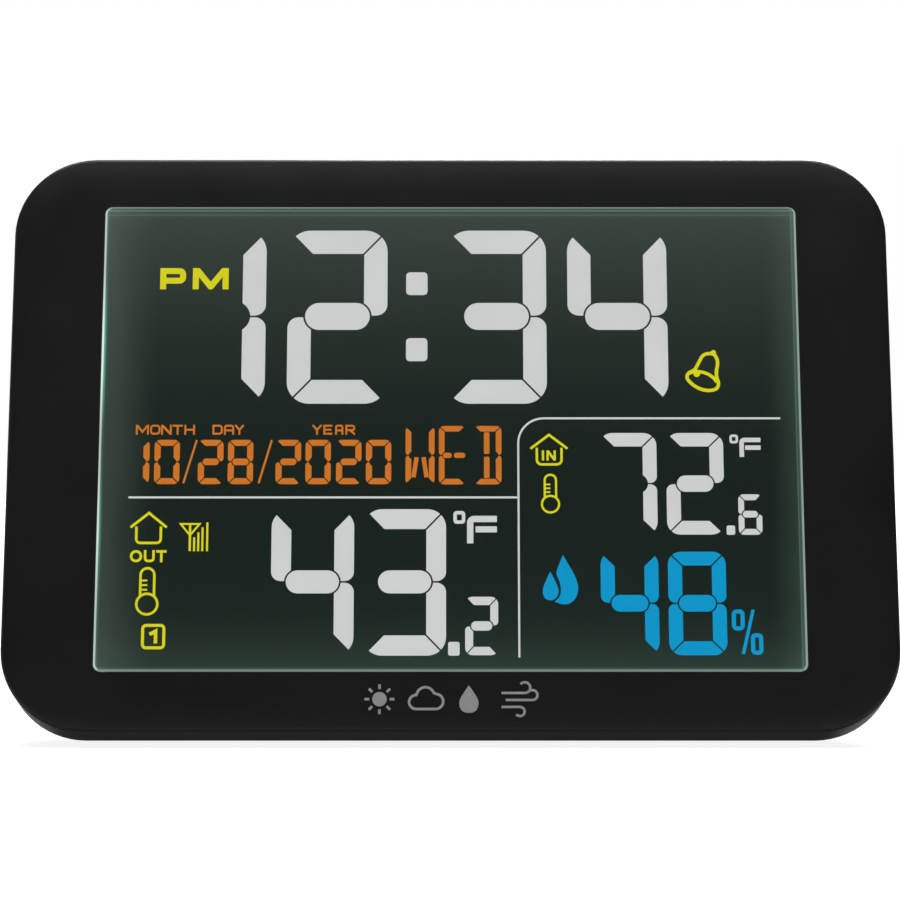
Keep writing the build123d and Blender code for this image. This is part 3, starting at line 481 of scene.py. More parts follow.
def moulded(name, colour, roughness, grain=0.35, depth=0.012, mottle=0.12, metallic=0.0, ior=1.46, coat=0.0):
    """Moulded plastic, rubber or metal: fine grain as bump, slow changes of tone and of gloss."""
    material, tree, shader = blank(name)
    where = node(tree, "TexCoord").outputs["Object"]
    fine = noise(tree, where, grain, 3.0, 0.6)
    slow = noise(tree, where, 22.0, 3.0)
    specks = noise(tree, where, grain * 3.1, 2.0)
    dark = tuple(c * (1 - mottle) for c in colour[:3]) + (1.0,)
    light = tuple(c * (1 + mottle) for c in colour[:3]) + (1.0,)
    tone = maths(tree, "ADD", maths(tree, "MULTIPLY", slow, 0.6), maths(tree, "MULTIPLY", specks, 0.4))
    tree.links.new(blend_colours(tree, ramp(tree, tone, 0.3, 0.7), dark, light), shader.inputs["Base Color"])
    gloss = ramp(tree, tone, 0.25, 0.75, roughness - 0.05, roughness + 0.05)
    tree.links.new(gloss, shader.inputs["Roughness"])
    bump = node(tree, "Bump", {"Height": fine, "Distance": depth * MM, "Strength": 1.0})
    tree.links.new(bump.outputs[0], shader.inputs["Normal"])
    shader.inputs["Metallic"].default_value = metallic
    shader.inputs["IOR"].default_value = ior
    shader.inputs["Coat Weight"].default_value = coat
    shader.inputs["Coat Roughness"].default_value = 0.16
    return material


def face_coordinates(tree):
    """X, depth and height on the leaning face, in millimetres, and the three of them as one vector."""
    where = node(tree, "TexCoord").outputs["Object"]
    place = {"Location": FACE.to_translation(), "Rotation": (-LEAN, 0, 0), "Scale": (MM, MM, MM)}
    local = node(tree, "Mapping", {"Vector": where, **place}, vector_type="TEXTURE").outputs[0]
    axes = node(tree, "SeparateXYZ", {0: local})
    return axes.outputs[0], axes.outputs[1], axes.outputs[2], local


def lit(name, colour):
    """A lit shape of the readout: backlight through a printed colour, a little brighter near the lamps."""
    material, tree, shader = blank(name)
    x, _, _, local = face_coordinates(tree)
    slow = node(tree, "TexNoise", {"Vector": local, "Scale": 0.045, "Detail": 3.0}).outputs["Fac"]
    near_lamps = ramp(tree, x, -85.0, -30.0, 0.03, 0.0)
    level = maths(tree, "ADD", near_lamps, ramp(tree, slow, 0.3, 0.7, 0.0, 1.0))
    dark = tuple(c * 0.955 for c in colour[:3]) + (1.0,)
    tree.links.new(blend_colours(tree, level, dark, colour), shader.inputs["Emission Color"])
    shader.inputs["Emission Strength"].default_value = 1.0
    shader.inputs["Base Color"].default_value = tuple(c * 0.25 for c in colour[:3]) + (1.0,)
    fibres = node(tree, "TexNoise", {"Vector": local, "Scale": 3.0, "Detail": 2.0}).outputs["Fac"]
    tree.links.new(ramp(tree, fibres, 0.3, 0.7, 0.42, 0.55), shader.inputs["Roughness"])
    return material


def colour_stops(tree, value, stops):
    """A colour that changes along a value from 0 to 1. stops are (place, colour)."""
    made = node(tree, "ValToRGB", {0: value})
    elements = made.color_ramp.elements
    made.color_ramp.interpolation = "B_SPLINE"
    while len(elements) < len(stops):
        elements.new(0.5)
    for element, (place, colour) in zip(elements, stops):
        element.position = place
        element.color = colour
    return made.outputs[0]


def readout_ground():
    """The dark field of the readout: nearly black in the middle, grey-green near the edges."""
    material, tree, shader = blank("readout_ground")
    x, _, height, local = face_coordinates(tree)
    rows = [
        (-56, (46, 64, 57)),
        (-51, (40, 55, 48)),
        (-46, (31, 44, 38)),
        (-38, (22, 34, 29)),
        (-10, (19, 30, 25)),
        (12, (22, 33, 28)),
        (32, (38, 47, 42)),
        (45, (47, 56, 51)),
        (55, (55, 63, 58)),
        (63, (62, 74, 67)),
    ]
    low = rows[0][0]
    span = rows[-1][0] - low
    up = maths(tree, "DIVIDE", maths(tree, "SUBTRACT", height, low), span)
    field = colour_stops(tree, up, [((h - low) / span, srgb(*colour)) for h, colour in rows])
    left = ramp(tree, x, -86.0, -71.0, 1.0, 0.0)
    left_near = ramp(tree, x, -86.5, -81.5, 1.0, 0.0)
    right = ramp(tree, x, 77.0, 86.5, 0.0, 1.0)
    slow = node(tree, "TexNoise", {"Vector": local, "Scale": 0.03, "Detail": 2.0}).outputs["Fac"]
    sway = ramp(tree, slow, 0.3, 0.7, 0.75, 1.15)
    left_glow = maths(tree, "MULTIPLY", maths(tree, "ADD", left, left_near), sway)
    right_glow = maths(tree, "MULTIPLY", right, sway)
    field = blend_colours(tree, left_glow, field, (0.027, 0.037, 0.030, 1.0), "ADD")
    field = blend_colours(tree, right_glow, field, (0.018, 0.033, 0.025, 1.0), "ADD")
    tree.links.new(field, shader.inputs["Emission Color"])
    shader.inputs["Emission Strength"].default_value = 1.0
    shader.inputs["Base Color"].default_value = (0.004, 0.0045, 0.0042, 1.0)
    fibres = node(tree, "TexNoise", {"Vector": local, "Scale": 5.0, "Detail": 2.0}).outputs["Fac"]
    tree.links.new(ramp(tree, fibres, 0.3, 0.7, 0.3, 0.36), shader.inputs["Roughness"])
    return material


def scaled(tree, value, factor):
    """The value times a plain number."""
    return maths(tree, "MULTIPLY", value, factor)


def pulse(tree, value, centre, half):
    """One at the centre, falling softly to nothing at that distance from it."""
    away = maths(tree, "ABSOLUTE", maths(tree, "SUBTRACT", value, centre))
    return ramp(tree, away, 0.0, half, 1.0, 0.0)


def largest(tree, values):
    result = values[0]
    for value in values[1:]:
        result = maths(tree, "MAXIMUM", result, value)
    return result


def clear_lens():
    """Clear acrylic with lamp light on its polished rim painted in as emission: a painted highlight and a
    painted teal glow, most at the side where the lamps are.
    """
    material, tree, shader = blank("clear_acrylic")
    x, depth, height, local = face_coordinates(tree)
    rise = maths(tree, "SUBTRACT", height, READOUT_DROP)
    shallow = ramp(tree, depth, LENS_CHAMFER, LENS_CHAMFER + 0.1, 1.0, 0.0)

    # How far a point lies inside the lens's round-cornered outline, as a negative number.
    beyond = []
    for place, half in ((x, LENS_HALF_WIDTH), (rise, LENS_HALF_HEIGHT)):
        past_arc = maths(tree, "SUBTRACT", maths(tree, "ABSOLUTE", place), half - LENS_CORNER)
        beyond.append(maths(tree, "MAXIMUM", past_arc))
    corner = node(tree, "CombineXYZ", {0: beyond[0], 1: beyond[1], 2: 0.0}).outputs[0]
    reach = node(tree, "VectorMath", {0: corner}, operation="LENGTH").outputs["Value"]
    inside = maths(tree, "SUBTRACT", reach, LENS_CORNER)
    rim = ramp(tree, inside, -LENS_CHAMFER - 0.25, -LENS_CHAMFER)
    inner = maths(tree, "MULTIPLY", ramp(tree, inside, -1.35, -0.7), maths(tree, "SUBTRACT", 1.0, rim))

    upper_lamp = pulse(tree, height, LAMP_HEIGHTS[0], 24.0)
    lower_lamp = pulse(tree, height, LAMP_HEIGHTS[1], 22.0)
    lamps = maths(tree, "ADD", upper_lamp, scaled(tree, lower_lamp, 0.55))
    side_start, side_full = LENS_HALF_WIDTH - RIM_REACH, LENS_HALF_WIDTH - RIM_FULL
    level_start, level_full = LENS_HALF_HEIGHT - RIM_REACH, LENS_HALF_HEIGHT - RIM_FULL
    at_left = ramp(tree, x, -side_full, -side_start, 1.0, 0.0)
    at_right = ramp(tree, x, side_start, side_full)
    at_top = ramp(tree, rise, level_start, level_full)
    at_foot = ramp(tree, rise, -level_full, -level_start, 1.0, 0.0)
    left_level = maths(tree, "ADD", 0.6, scaled(tree, lamps, 0.45))
    # How bright the painted white highlight is along the left, right, top and bottom of the rim.
    rim_levels = [
        maths(tree, "MULTIPLY", at_left, left_level),
        scaled(tree, at_right, 0.36),
        scaled(tree, at_top, 0.20),
        scaled(tree, at_foot, 0.22),
    ]
    rim_light = maths(tree, "MULTIPLY", rim, largest(tree, rim_levels))
    # Painted highlight lines just inside the rim: two below the top edge and one by the right edge.
    painted_highlight_lines = [
        scaled(tree, pulse(tree, rise, 57.75, 0.3), 0.13),
        scaled(tree, pulse(tree, rise, 56.6, 0.25), 0.06),
        scaled(tree, pulse(tree, x, 84.6, 0.25), 0.10),
    ]
    white_level = largest(tree, [rim_light] + painted_highlight_lines)
    # A painted teal glow just inside the rim, strongest at the left by the lamps.
    teal_left = maths(tree, "MULTIPLY", at_left, maths(tree, "ADD", 0.1, lamps))
    teal_rest = scaled(tree, largest(tree, [at_right, at_foot, at_top]), 0.16)
    teal_level = maths(tree, "MULTIPLY", inner, largest(tree, [teal_left, teal_rest]))
    painted_teal_glow = blend_colours(tree, teal_level, (0, 0, 0, 1), (0.03, 0.28, 0.16, 1.0))
    white = blend_colours(tree, white_level, (0, 0, 0, 1), (0.70, 0.84, 0.78, 1.0))
    glow = blend_colours(tree, shallow, (0, 0, 0, 1), blend_colours(tree, 1.0, painted_teal_glow, white, "ADD"))
    tree.links.new(glow, shader.inputs["Emission Color"])
    shader.inputs["Emission Strength"].default_value = 1.0
    shader.inputs["Base Color"].default_value = (0.96, 0.985, 0.975, 1.0)
    shader.inputs["Transmission Weight"].default_value = 1.0
    shader.inputs["IOR"].default_value = 1.49
    smear = node(tree, "TexNoise", {"Vector": local, "Scale": 0.09, "Detail": 4.0}).outputs["Fac"]
    tree.links.new(ramp(tree, smear, 0.35, 0.75, 0.0, 0.018), shader.inputs["Roughness"])
    return material


def battery_sleeve():
    """A printed cell sleeve: plain green over most of its length, with a pale band round each end."""
    material, tree, shader = blank("cell_sleeve")
    where = node(tree, "TexCoord").outputs["Object"]
    x = node(tree, "SeparateXYZ", {0: where}).outputs[0]
    band = ramp(tree, maths(tree, "ABSOLUTE", x), 0.0118, 0.0121)
    slow = noise(tree, where, 9.0, 3.0)
    green = blend_colours(tree, slow, (0.010, 0.062, 0.028, 1), (0.016, 0.085, 0.040, 1))
    pale = blend_colours(tree, slow, (0.50, 0.50, 0.48, 1), (0.60, 0.60, 0.58, 1))
    tree.links.new(blend_colours(tree, band, green, pale), shader.inputs["Base Color"])
    tree.links.new(ramp(tree, slow, 0.3, 0.7, 0.24, 0.34), shader.inputs["Roughness"])
    tree.links.new(maths(tree, "MULTIPLY", band, 0.8), shader.inputs["Metallic"])
    bump = node(tree, "Bump", {"Height": noise(tree, where, 1.2), "Distance": 0.01 * MM})
    tree.links.new(bump.outputs[0], shader.inputs["Normal"])
    return material


def green_board():
    """Solder mask with copper tracks showing through as lighter lines."""
    material, tree, shader = blank("circuit_board")
    where = node(tree, "TexCoord").outputs["Object"]
    grid = {"distance": "CHEBYCHEV", "feature": "DISTANCE_TO_EDGE"}
    cells = node(tree, "TexVoronoi", {"Vector": where, "Scale": 260.0}, **grid)
    tracks = ramp(tree, cells.outputs["Distance"], 0.02, 0.06, 1.0, 0.0)
    slow = noise(tree, where, 14.0, 3.0)
    mask = blend_colours(tree, slow, (0.008, 0.070, 0.030, 1), (0.012, 0.095, 0.042, 1))
    tree.links.new(blend_colours(tree, tracks, mask, (0.03, 0.19, 0.075, 1)), shader.inputs["Base Color"])
    tree.links.new(ramp(tree, slow, 0.3, 0.7, 0.25, 0.38), shader.inputs["Roughness"])
    bump = node(tree, "Bump", {"Height": tracks, "Distance": 0.03 * MM})
    tree.links.new(bump.outputs[0], shader.inputs["Normal"])
    return material


def foil(name, colour):
    """Printed silver: pale pigment with a faint brushed streak and some metal in it."""
    material, tree, shader = blank(name)
    _, _, _, local = face_coordinates(tree)
    streak = node(tree, "Mapping", {"Vector": local, "Scale": (0.4, 1.0, 9.0)}).outputs[0]
    lines = node(tree, "TexNoise", {"Vector": streak, "Scale": 1.0, "Detail": 4.0}).outputs["Fac"]
    dark = tuple(c * 0.86 for c in colour[:3]) + (1.0,)
    tone = blend_colours(tree, ramp(tree, lines, 0.3, 0.7), dark, colour)
    tree.links.new(tone, shader.inputs["Base Color"])
    tree.links.new(ramp(tree, lines, 0.3, 0.7, 0.34, 0.46), shader.inputs["Roughness"])
    bump = node(tree, "Bump", {"Height": lines, "Distance": 0.006 * MM})
    tree.links.new(bump.outputs[0], shader.inputs["Normal"])
    shader.inputs["Metallic"].default_value = 0.15
    return material


CASE = moulded("case_plastic", (0.0075, 0.0075, 0.0068, 1), 0.48, grain=0.32, depth=0.03, coat=0.3)
COVER = moulded("cover_plastic", (0.0145, 0.0145, 0.0138, 1), 0.56, grain=0.5, depth=0.028)
BUTTON = moulded("button_plastic", (0.012, 0.012, 0.0118, 1), 0.42, grain=0.3, depth=0.008)
RUBBER = moulded("rubber", (0.020, 0.020, 0.020, 1), 0.78, grain=0.25, depth=0.03)
STEEL = moulded("steel", (0.42, 0.42, 0.43, 1), 0.30, grain=0.2, depth=0.004, metallic=1.0)
NICKEL = moulded("nickel", (0.62, 0.60, 0.56, 1), 0.22, grain=0.25, depth=0.003, metallic=1.0)
BRASS = moulded("brass", (0.70, 0.50, 0.20, 1), 0.28, grain=0.25, depth=0.003, metallic=1.0)
COPPER = moulded("copper_wire", (0.68, 0.30, 0.16, 1), 0.30, grain=0.2, depth=0.003, metallic=1.0)
CHIP = moulded("chip_black", (0.014, 0.014, 0.015, 1), 0.48, grain=0.2, depth=0.01)
WHITE = moulded("white_plastic", (0.72, 0.72, 0.70, 1), 0.45, grain=0.4, depth=0.008, mottle=0.04)
FILM = moulded("white_film", (0.82, 0.82, 0.81, 1), 0.62, grain=0.3, depth=0.004, mottle=0.03)
DARK_GLASS = moulded("lcd_glass", (0.018, 0.024, 0.021, 1), 0.10, grain=4.0, depth=0.002, ior=1.52)
DARK_FILM = moulded("polarizer_film", (0.022, 0.025, 0.023, 1), 0.30, grain=2.0, depth=0.003)
GUIDE_LOOK = {"grain": 1.2, "depth": 0.01, "mottle": 0.03, "ior": 1.49}
GUIDE = moulded("light_guide_acrylic", (0.70, 0.74, 0.74, 1), 0.12, **GUIDE_LOOK)
FOAM = moulded("foam", (0.008, 0.008, 0.008, 1), 0.92, grain=0.5, depth=0.08)
PARTS = moulded("part_mixed", (0.30, 0.24, 0.17, 1), 0.40, grain=1.4, depth=0.01, mottle=0.45)
RED_LEAD = moulded("lead_red", (0.45, 0.015, 0.012, 1), 0.42, grain=0.5, depth=0.006)
BLACK_LEAD = moulded("lead_black", (0.012, 0.012, 0.012, 1), 0.42, grain=0.5, depth=0.006)

# Each finish, then the CAD pieces that have it.
FINISHES = [
    (CASE, "front_bezel"),
    (COVER, "rear_cover", "battery_door", "stand_leg"),
    (RUBBER, "foot_left", "foot_right", "stand_foot"),
    (STEEL, "case_screws", "board_screws", "hinge_pin_left", "hinge_pin_right", "quartz_crystal"),
    (NICKEL, "battery_springs", "battery_plates", "jack_contact_pin"),
    (BRASS, "receiver_header", "sensor_header"),
    (COPPER, "antenna_wire"),
    (RED_LEAD, "battery_lead_red"),
    (BLACK_LEAD, "battery_lead_black"),
    (BUTTON, "snooze_button"),
    (WHITE, "snooze_plunger", "lcd_frame", "humidity_sensor"),
    (clear_lens(), "display_lens"),
    (FOAM, "lens_gasket", "zebra_strips"),
    (readout_ground(), "front_polarizer"),
    (DARK_GLASS, "lcd_front_glass", "lcd_rear_glass"),
    (DARK_FILM, "rear_polarizer"),
    (FILM, "diffuser_film", "reflector_sheet", "backlight_leds"),
    (GUIDE, "light_guide"),
    (CHIP, "controller_chip", "button_switches", "dc_jack", "buzzer"),
    (PARTS, "board_parts"),
    (green_board(), "main_board", "sensor_board", "receiver_board", "backlight_strip"),
    (battery_sleeve(), "battery_1", "battery_2", "battery_3"),
]
for column in ("left", "right"):
    for row in ("low", "mid", "high"):
        FINISHES.append((BUTTON, f"button_{column}_{row}"))
        FINISHES.append((WHITE, f"plunger_{column}_{row}"))
for finish, *names in FINISHES:
    for name in names:
        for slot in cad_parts[name].material_slots:
            slot.material = finish

WHITE_INK = lit("ink_white", (0.656, 0.652, 0.655, 1.0))
ORANGE_INK = lit("ink_orange", (0.62, 0.175, 0.018, 1.0))
YELLOW_INK = lit("ink_yellow", (0.70, 0.655, 0.010, 1.0))
BLUE_INK = lit("ink_blue", (0.0, 0.31, 0.60, 1.0))
SILVER = foil("print_silver", (0.80, 0.80, 0.80, 1.0))


def show(name, shapes, ink):
    return plate(name, shapes, ink, "root", READOUT_FRONT, READOUT_BACK)


# ----------------------------------------------------------------------
# The readout, from top to bottom. Places are millimetres on the face: x from the middle, then the height
# above the readout line. A digit style is its low edge, width and height, the height of its centre bar's
# middle, and how thick its uprights, its top and bottom bars and its centre bar are.
# ----------------------------------------------------------------------
CLOCK_STYLE = (12.7, 24.7, 44.8, 35.15, 5.8, 6.05, 6.95)
DATE_STYLE = (-7.73, 6.2, 11.2, -2.1, 1.5, 1.5, 1.65)
OUTDOOR_STYLE = (-50.4, 20.1, 36.35, -32.2, 4.8, 4.96, 5.7)
OUTDOOR_TENTH_STYLE = (-50.3, 8.0, 14.4, -43.1, 1.92, 2.04, 2.3)
INDOOR_STYLE = (-20.4, 14.04, 25.6, -7.6, 3.42, 3.4, 4.1)
INDOOR_TENTH_STYLE = (-20.46, 5.77, 10.15, -15.3, 1.4, 1.46, 1.65)
HUMIDITY_STYLE = (-50.3, 14.04, 25.6, -37.5, 3.42, 3.4, 4.1)
LABEL_CELL = (4.8, 7.3, 0.46)  # low edge, high edge and pen of the labels over the date

clock = []
for value, left in (("1", -70.45), ("2", -40.35), ("3", -0.95), ("4", 29.0)):
    clock += digit(value, left, CLOCK_STYLE)
clock.append(box(-11.0, -5.7, 40.7, 46.6, 1.0))
clock.append(box(-11.0, -5.7, 23.6, 29.5, 1.0))
show("clock_digits", clock, WHITE_INK)
afternoon = word("PM", ((-72.1, -65.7), (-64.0, -55.1)), 42.2, 47.7, 1.5)
show("afternoon_mark", afternoon, YELLOW_INK)

bell_edge = [(60.2, 21.4), (61.4, 23.5), (62.2, 24.9), (63.4, 25.5), (64.9, 25.4), (65.75, 24.2)]
bell_edge += [(65.9, 22.8), (65.6, 21.2), (65.6, 19.6), (66.0, 18.0), (65.7, 16.8), (64.7, 16.2)]
bell_edge += [(63.0, 16.1), (61.0, 16.7), (59.1, 18.1), (58.3, 19.4), (58.8, 20.6)]
bell_mouth = [(58.9, 20.5), (60.3, 20.95), (61.9, 20.8), (63.4, 20.3), (64.8, 19.3), (65.6, 18.2)]
bell = [
    stroke(smooth(bell_edge, closed=True), 0.85, closed=True),
    (stroke(smooth(bell_mouth), 0.8), 1),
    (disc(60.7, 20.4, 0.85), 2),
    (disc(64.9, 25.8, 0.65), 2),
]
show("alarm_bell", bell, YELLOW_INK)

line = 0.48
dividers = [
    stroke(rounded([(81.0, 8.96), (16.6, 8.96, 6.3), (16.6, -50.85)]), line),
    (box(-78.7, 16.4, -11.07 - line / 2, -11.07 + line / 2, 0.3), 1),
]
show("divider_lines", dividers, WHITE_INK)

month_cells = ((-77.2, -74.0), (-73.7, -71.2), (-71.0, -68.4), (-68.2, -65.7), (-65.3, -62.7))
day_cells = ((-58.4, -55.9), (-55.6, -53.1), (-52.9, -50.7))
year_cells = ((-33.9, -31.6), (-31.2, -29.0), (-28.3, -26.3), (-25.8, -23.4))
labels = word("MONTH", month_cells, *LABEL_CELL)
labels += word("DAY", day_cells, *LABEL_CELL)
labels += word("YEAR", year_cells, *LABEL_CELL)
show("date_labels", labels, ORANGE_INK)

date = []
date_lefts = (-79.9, -72.5, -61.8, -54.5, -42.8, -35.5, -28.0, -20.7)
for value, left in zip("10282020", date_lefts):
    date += digit(value, left, DATE_STYLE)
for left in (-65.5, -47.1):
    date.append(stroke([(left + 0.2, -7.5), (left + 3.3, 3.4)], 0.5))
show("date_digits", date, ORANGE_INK)


def weekday_letter(keys, left, wide):
    """Some of the outer segments of one letter of the weekday."""
    pen = 1.4
    return segments(keys, left, -7.8, wide, 14.8, -0.45, pen, pen, pen)


weekday = weekday_letter("bcef", -11.0, 7.1)
weekday.append(stroke([(-8.3, -0.95), (-9.05, -6.0)], 1.05))
weekday.append(stroke([(-6.6, -0.95), (-5.85, -6.0)], 1.05))
weekday += weekday_letter("adef", -2.85, 6.55)
weekday.append(box(-1.85, 0.3, -1.1, 0.2, 0.6))
weekday.append(box(0.85, 3.6, -1.1, 0.2, 0.6))
weekday += weekday_letter("abcd", 5.8, 6.7)
weekday.append(box(8.2, 9.55, -0.1, 5.4, 0.35))
weekday.append(box(8.2, 9.55, -6.2, -0.8, 0.35))
show("weekday_letters", weekday, ORANGE_INK)

outdoor = digit("4", -43.54, OUTDOOR_STYLE)
outdoor += digit("3", -21.18, OUTDOOR_STYLE)
outdoor.append(box(-0.58, 2.2, -50.4, -47.04, 0.5))
outdoor += digit("2", 3.54, OUTDOOR_TENTH_STYLE)
outdoor += degrees_fahrenheit(
    ring_box=(0.7, 3.6, -17.7, -14.5), ring_pen=0.85, corner=(4.8, -16.5), foot=-22.6, right=11.3,
    pen=1.55, middle_left=6.1, middle_h=-19.1, middle_pen=1.5,
)
show("outdoor_temperature", outdoor, WHITE_INK)

outdoor_signs = house(
    apex=(-73.46, -15.0), left=(-77.9, -18.6), right=(-69.1, -18.6), wall_left=-76.46, wall_right=-70.5,
    top=-18.4, bottom=-22.5, radius=1.0, pen=0.62,
)
outdoor_signs += word("oUT", ((-77.9, -74.9), (-74.5, -71.85), (-71.5, -69.0)), -27.3, -24.3, 0.62)
outdoor_signs += thermometer(
    left=-75.45, right=-71.5, top=-28.5, bulb=(-73.5, -37.7), radius=2.85, pen=0.6,
    ticks=(-31.85, -33.0, -34.15), tick_left=-75.2, tick_right=-73.5, tick_pen=0.42,
)
outdoor_signs.append(ring(-74.7, -68.85, -48.85, -42.6, 1.2, 0.72))
outdoor_signs.append(stroke([(-72.7, -45.2), (-71.2, -44.4), (-71.2, -47.4)], 0.85))
show("outdoor_signs", outdoor_signs, YELLOW_INK)

signal = [
    stroke([(-65.7, -17.75), (-61.1, -17.75), (-63.4, -20.6)], 0.45, closed=True),
    (box(-63.68, -63.12, -24.5, -18.0), 1),
]
for left, top in ((-62.6, -21.1), (-61.6, -19.85), (-60.6, -18.6), (-59.45, -17.35)):
    signal.append((box(left, left + 0.5, -24.55, top), 2))
show("signal_mark", signal, YELLOW_INK)

indoor = digit("7", 36.42, INDOOR_STYLE)
indoor += digit("2", 52.77, INDOOR_STYLE)
indoor.append(box(67.23, 69.3, -20.46, -18.15, 0.4))
indoor += digit("6", 70.2, INDOOR_TENTH_STYLE)
indoor += degrees_fahrenheit(
    ring_box=(68.4, 70.5, 2.6, 4.8), ring_pen=0.6, corner=(71.35, 3.45), foot=-0.85, right=76.0,
    pen=1.1, middle_left=72.2, middle_h=1.5, middle_pen=1.1,
)
show("indoor_temperature", indoor, WHITE_INK)

indoor_signs = house(
    apex=(24.15, 4.75), left=(19.6, 1.25), right=(28.65, 1.25), wall_left=21.15, wall_right=27.2,
    top=1.46, bottom=-2.75, radius=1.2, pen=0.6,
)
indoor_signs += word("IN", ((22.2, 23.1), (23.5, 25.8)), -1.75, 0.8, 0.55)
indoor_signs += thermometer(
    left=22.75, right=26.05, top=-5.1, bulb=(24.4, -12.77), radius=2.35, pen=0.52,
    ticks=(-7.8, -8.77, -9.73), tick_left=23.0, tick_right=24.4, tick_pen=0.38,
)
show("indoor_signs", indoor_signs, YELLOW_INK)

humidity = digit("4", 36.42, HUMIDITY_STYLE)
humidity += digit("8", 52.77, HUMIDITY_STYLE)
humidity.append(ring(68.0, 71.1, -44.2, -39.04, 1.2, 1.0))
humidity.append((stroke([(70.6, -50.0), (73.2, -39.1)], 0.8), 1))
humidity.append(ring(72.5, 75.46, -50.2, -44.9, 1.2, 1.0))
# Two drops side by side: the large one's left edge follows the small one, with a thin gap between.
big_tip = (27.3, -25.5)
big_right = [big_tip, (28.7, -28.0), (30.2, -30.8), (30.95, -33.6)]
big_right += [(30.3, -36.2), (28.6, -37.6), (26.8, -37.7)]
big_left = [(25.2, -37.1), (26.3, -36.0), (26.75, -34.4), (26.5, -32.3), (25.7, -30.1), (26.4, -27.8)]
big_left.append(big_tip)
small_tip = (24.15, -29.6)
small_right = [small_tip, (25.2, -31.6), (26.05, -33.6), (26.1, -35.2)]
small_right += [(25.3, -36.4), (24.1, -36.75), (22.9, -36.3)]
small_left = [(22.35, -35.1), (22.5, -33.5), (23.3, -31.6), small_tip]
for right_edge, left_edge in ((big_right, big_left), (small_right, small_left)):
    outline = smooth(right_edge) + smooth(left_edge)
    humidity.append([outline[:-1]])
show("humidity_reading", humidity, BLUE_INK)

# ----------------------------------------------------------------------
# Silver weather signs on the bezel below the lens
# ----------------------------------------------------------------------
SIGN_LINE = -61.6              # height of the signs' centres
SUN_X = -17.0
DROP_X = 4.4
sun = [disc(SUN_X, SIGN_LINE, 1.75)]
for turn in range(0, 360, 45):
    ray = stroke([(2.45, 0.0), (3.6, 0.0)], 0.62)
    sun.append(moved(ray, SUN_X, SIGN_LINE, turn))
cloud_edge = arc(-8.2, SIGN_LINE - 0.7, 1.7, 90, 270) + arc(-3.6, SIGN_LINE - 0.55, 1.85, -90, 60)
cloud_edge += arc(-6.0, SIGN_LINE + 0.75, 2.15, 20, 165)
cloud = [stroke(cloud_edge, 0.62, closed=True)]
rain = [moved(drop(0.0, 3.4, 2.3, -3.3), DROP_X, SIGN_LINE)]
wind = []
for lift, left, right, curl in ((1.5, 12.2, 17.8, 1.3), (-0.2, 13.2, 19.6, 1.2), (-1.9, 12.2, 16.6, -1.1)):
    path = [(left, SIGN_LINE + lift), (right, SIGN_LINE + lift)]
    way = math.copysign(1, curl)
    path += arc(right, SIGN_LINE + lift + curl, abs(curl), -90 * way, 140 * way)[1:]
    wind.append(stroke(path, 0.6))
plate("weather_signs", sun + cloud + rain + wind, SILVER, "root", -PRINT_PROUD, PRINT_SUNK)

# ----------------------------------------------------------------------
# Small signs on the back, one beside each button
# ----------------------------------------------------------------------
SIGN_SHIFT = 9.6               # from a button's centre to its sign's, towards the middle of the case
SIGN_PEN = 0.5
TO_FACE = FACE.inverted()
BACK_DEPTH = max((TO_FACE @ vertex.co).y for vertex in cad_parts["rear_cover"].data.vertices)


def beside(button):
    """The place of a rear button's sign."""
    points = [TO_FACE @ vertex.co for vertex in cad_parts[button].data.vertices]
    x = (min(point.x for point in points) + max(point.x for point in points)) / 2
    height = (min(point.z for point in points) + max(point.z for point in points)) / 2
    return x - math.copysign(SIGN_SHIFT, x), height


clock_sign = [
    disc(0, 0, 2.2) + disc(0, 0, 2.2 - SIGN_PEN),
    stroke([(0.0, 1.3), (0.0, 0.0), (0.9, -0.5)], SIGN_PEN),
]
bell_dome = [(-2.0, -1.1), (-1.4, -0.5)] + arc(0, 0.4, 1.4, 180, 0) + [(1.4, -0.5), (2.0, -1.1)]
bell_sign = [stroke(bell_dome, SIGN_PEN, closed=True), disc(0.0, -1.85, 0.42)]
search_sign = [disc(0.0, -1.6, 0.5)]
search_sign += [stroke(arc(0, -1.6, radius, 35, 145), SIGN_PEN) for radius in (1.5, 2.6, 3.7)]
arm = 1.8
edge = 0.3
plus_outline = [(-arm, -edge), (-edge, -edge), (-edge, -arm), (edge, -arm), (edge, -edge), (arm, -edge)]
plus_outline += [(-x, -height) for x, height in plus_outline]
plus_sign = [[plus_outline]]
minus_sign = [box(-arm, arm, -edge, edge)]
lamp_sign = [disc(0.0, 0.0, 1.1)]
lamp_sign += [moved(stroke([(1.6, 0.0), (2.4, 0.0)], SIGN_PEN), turn=turn) for turn in range(0, 360, 45)]
button_signs = []
for button, sign in (
    ("button_left_high", clock_sign),
    ("button_left_mid", bell_sign),
    ("button_left_low", search_sign),
    ("button_right_high", plus_sign),
    ("button_right_mid", minus_sign),
    ("button_right_low", lamp_sign),
):
    x, height = beside(button)
    button_signs += [moved(shape, x, height) for shape in sign]
sunk = BACK_DEPTH - PRINT_SUNK
proud = BACK_DEPTH + PRINT_PROUD
plate("button_signs", button_signs, SILVER, "root", sunk, proud)


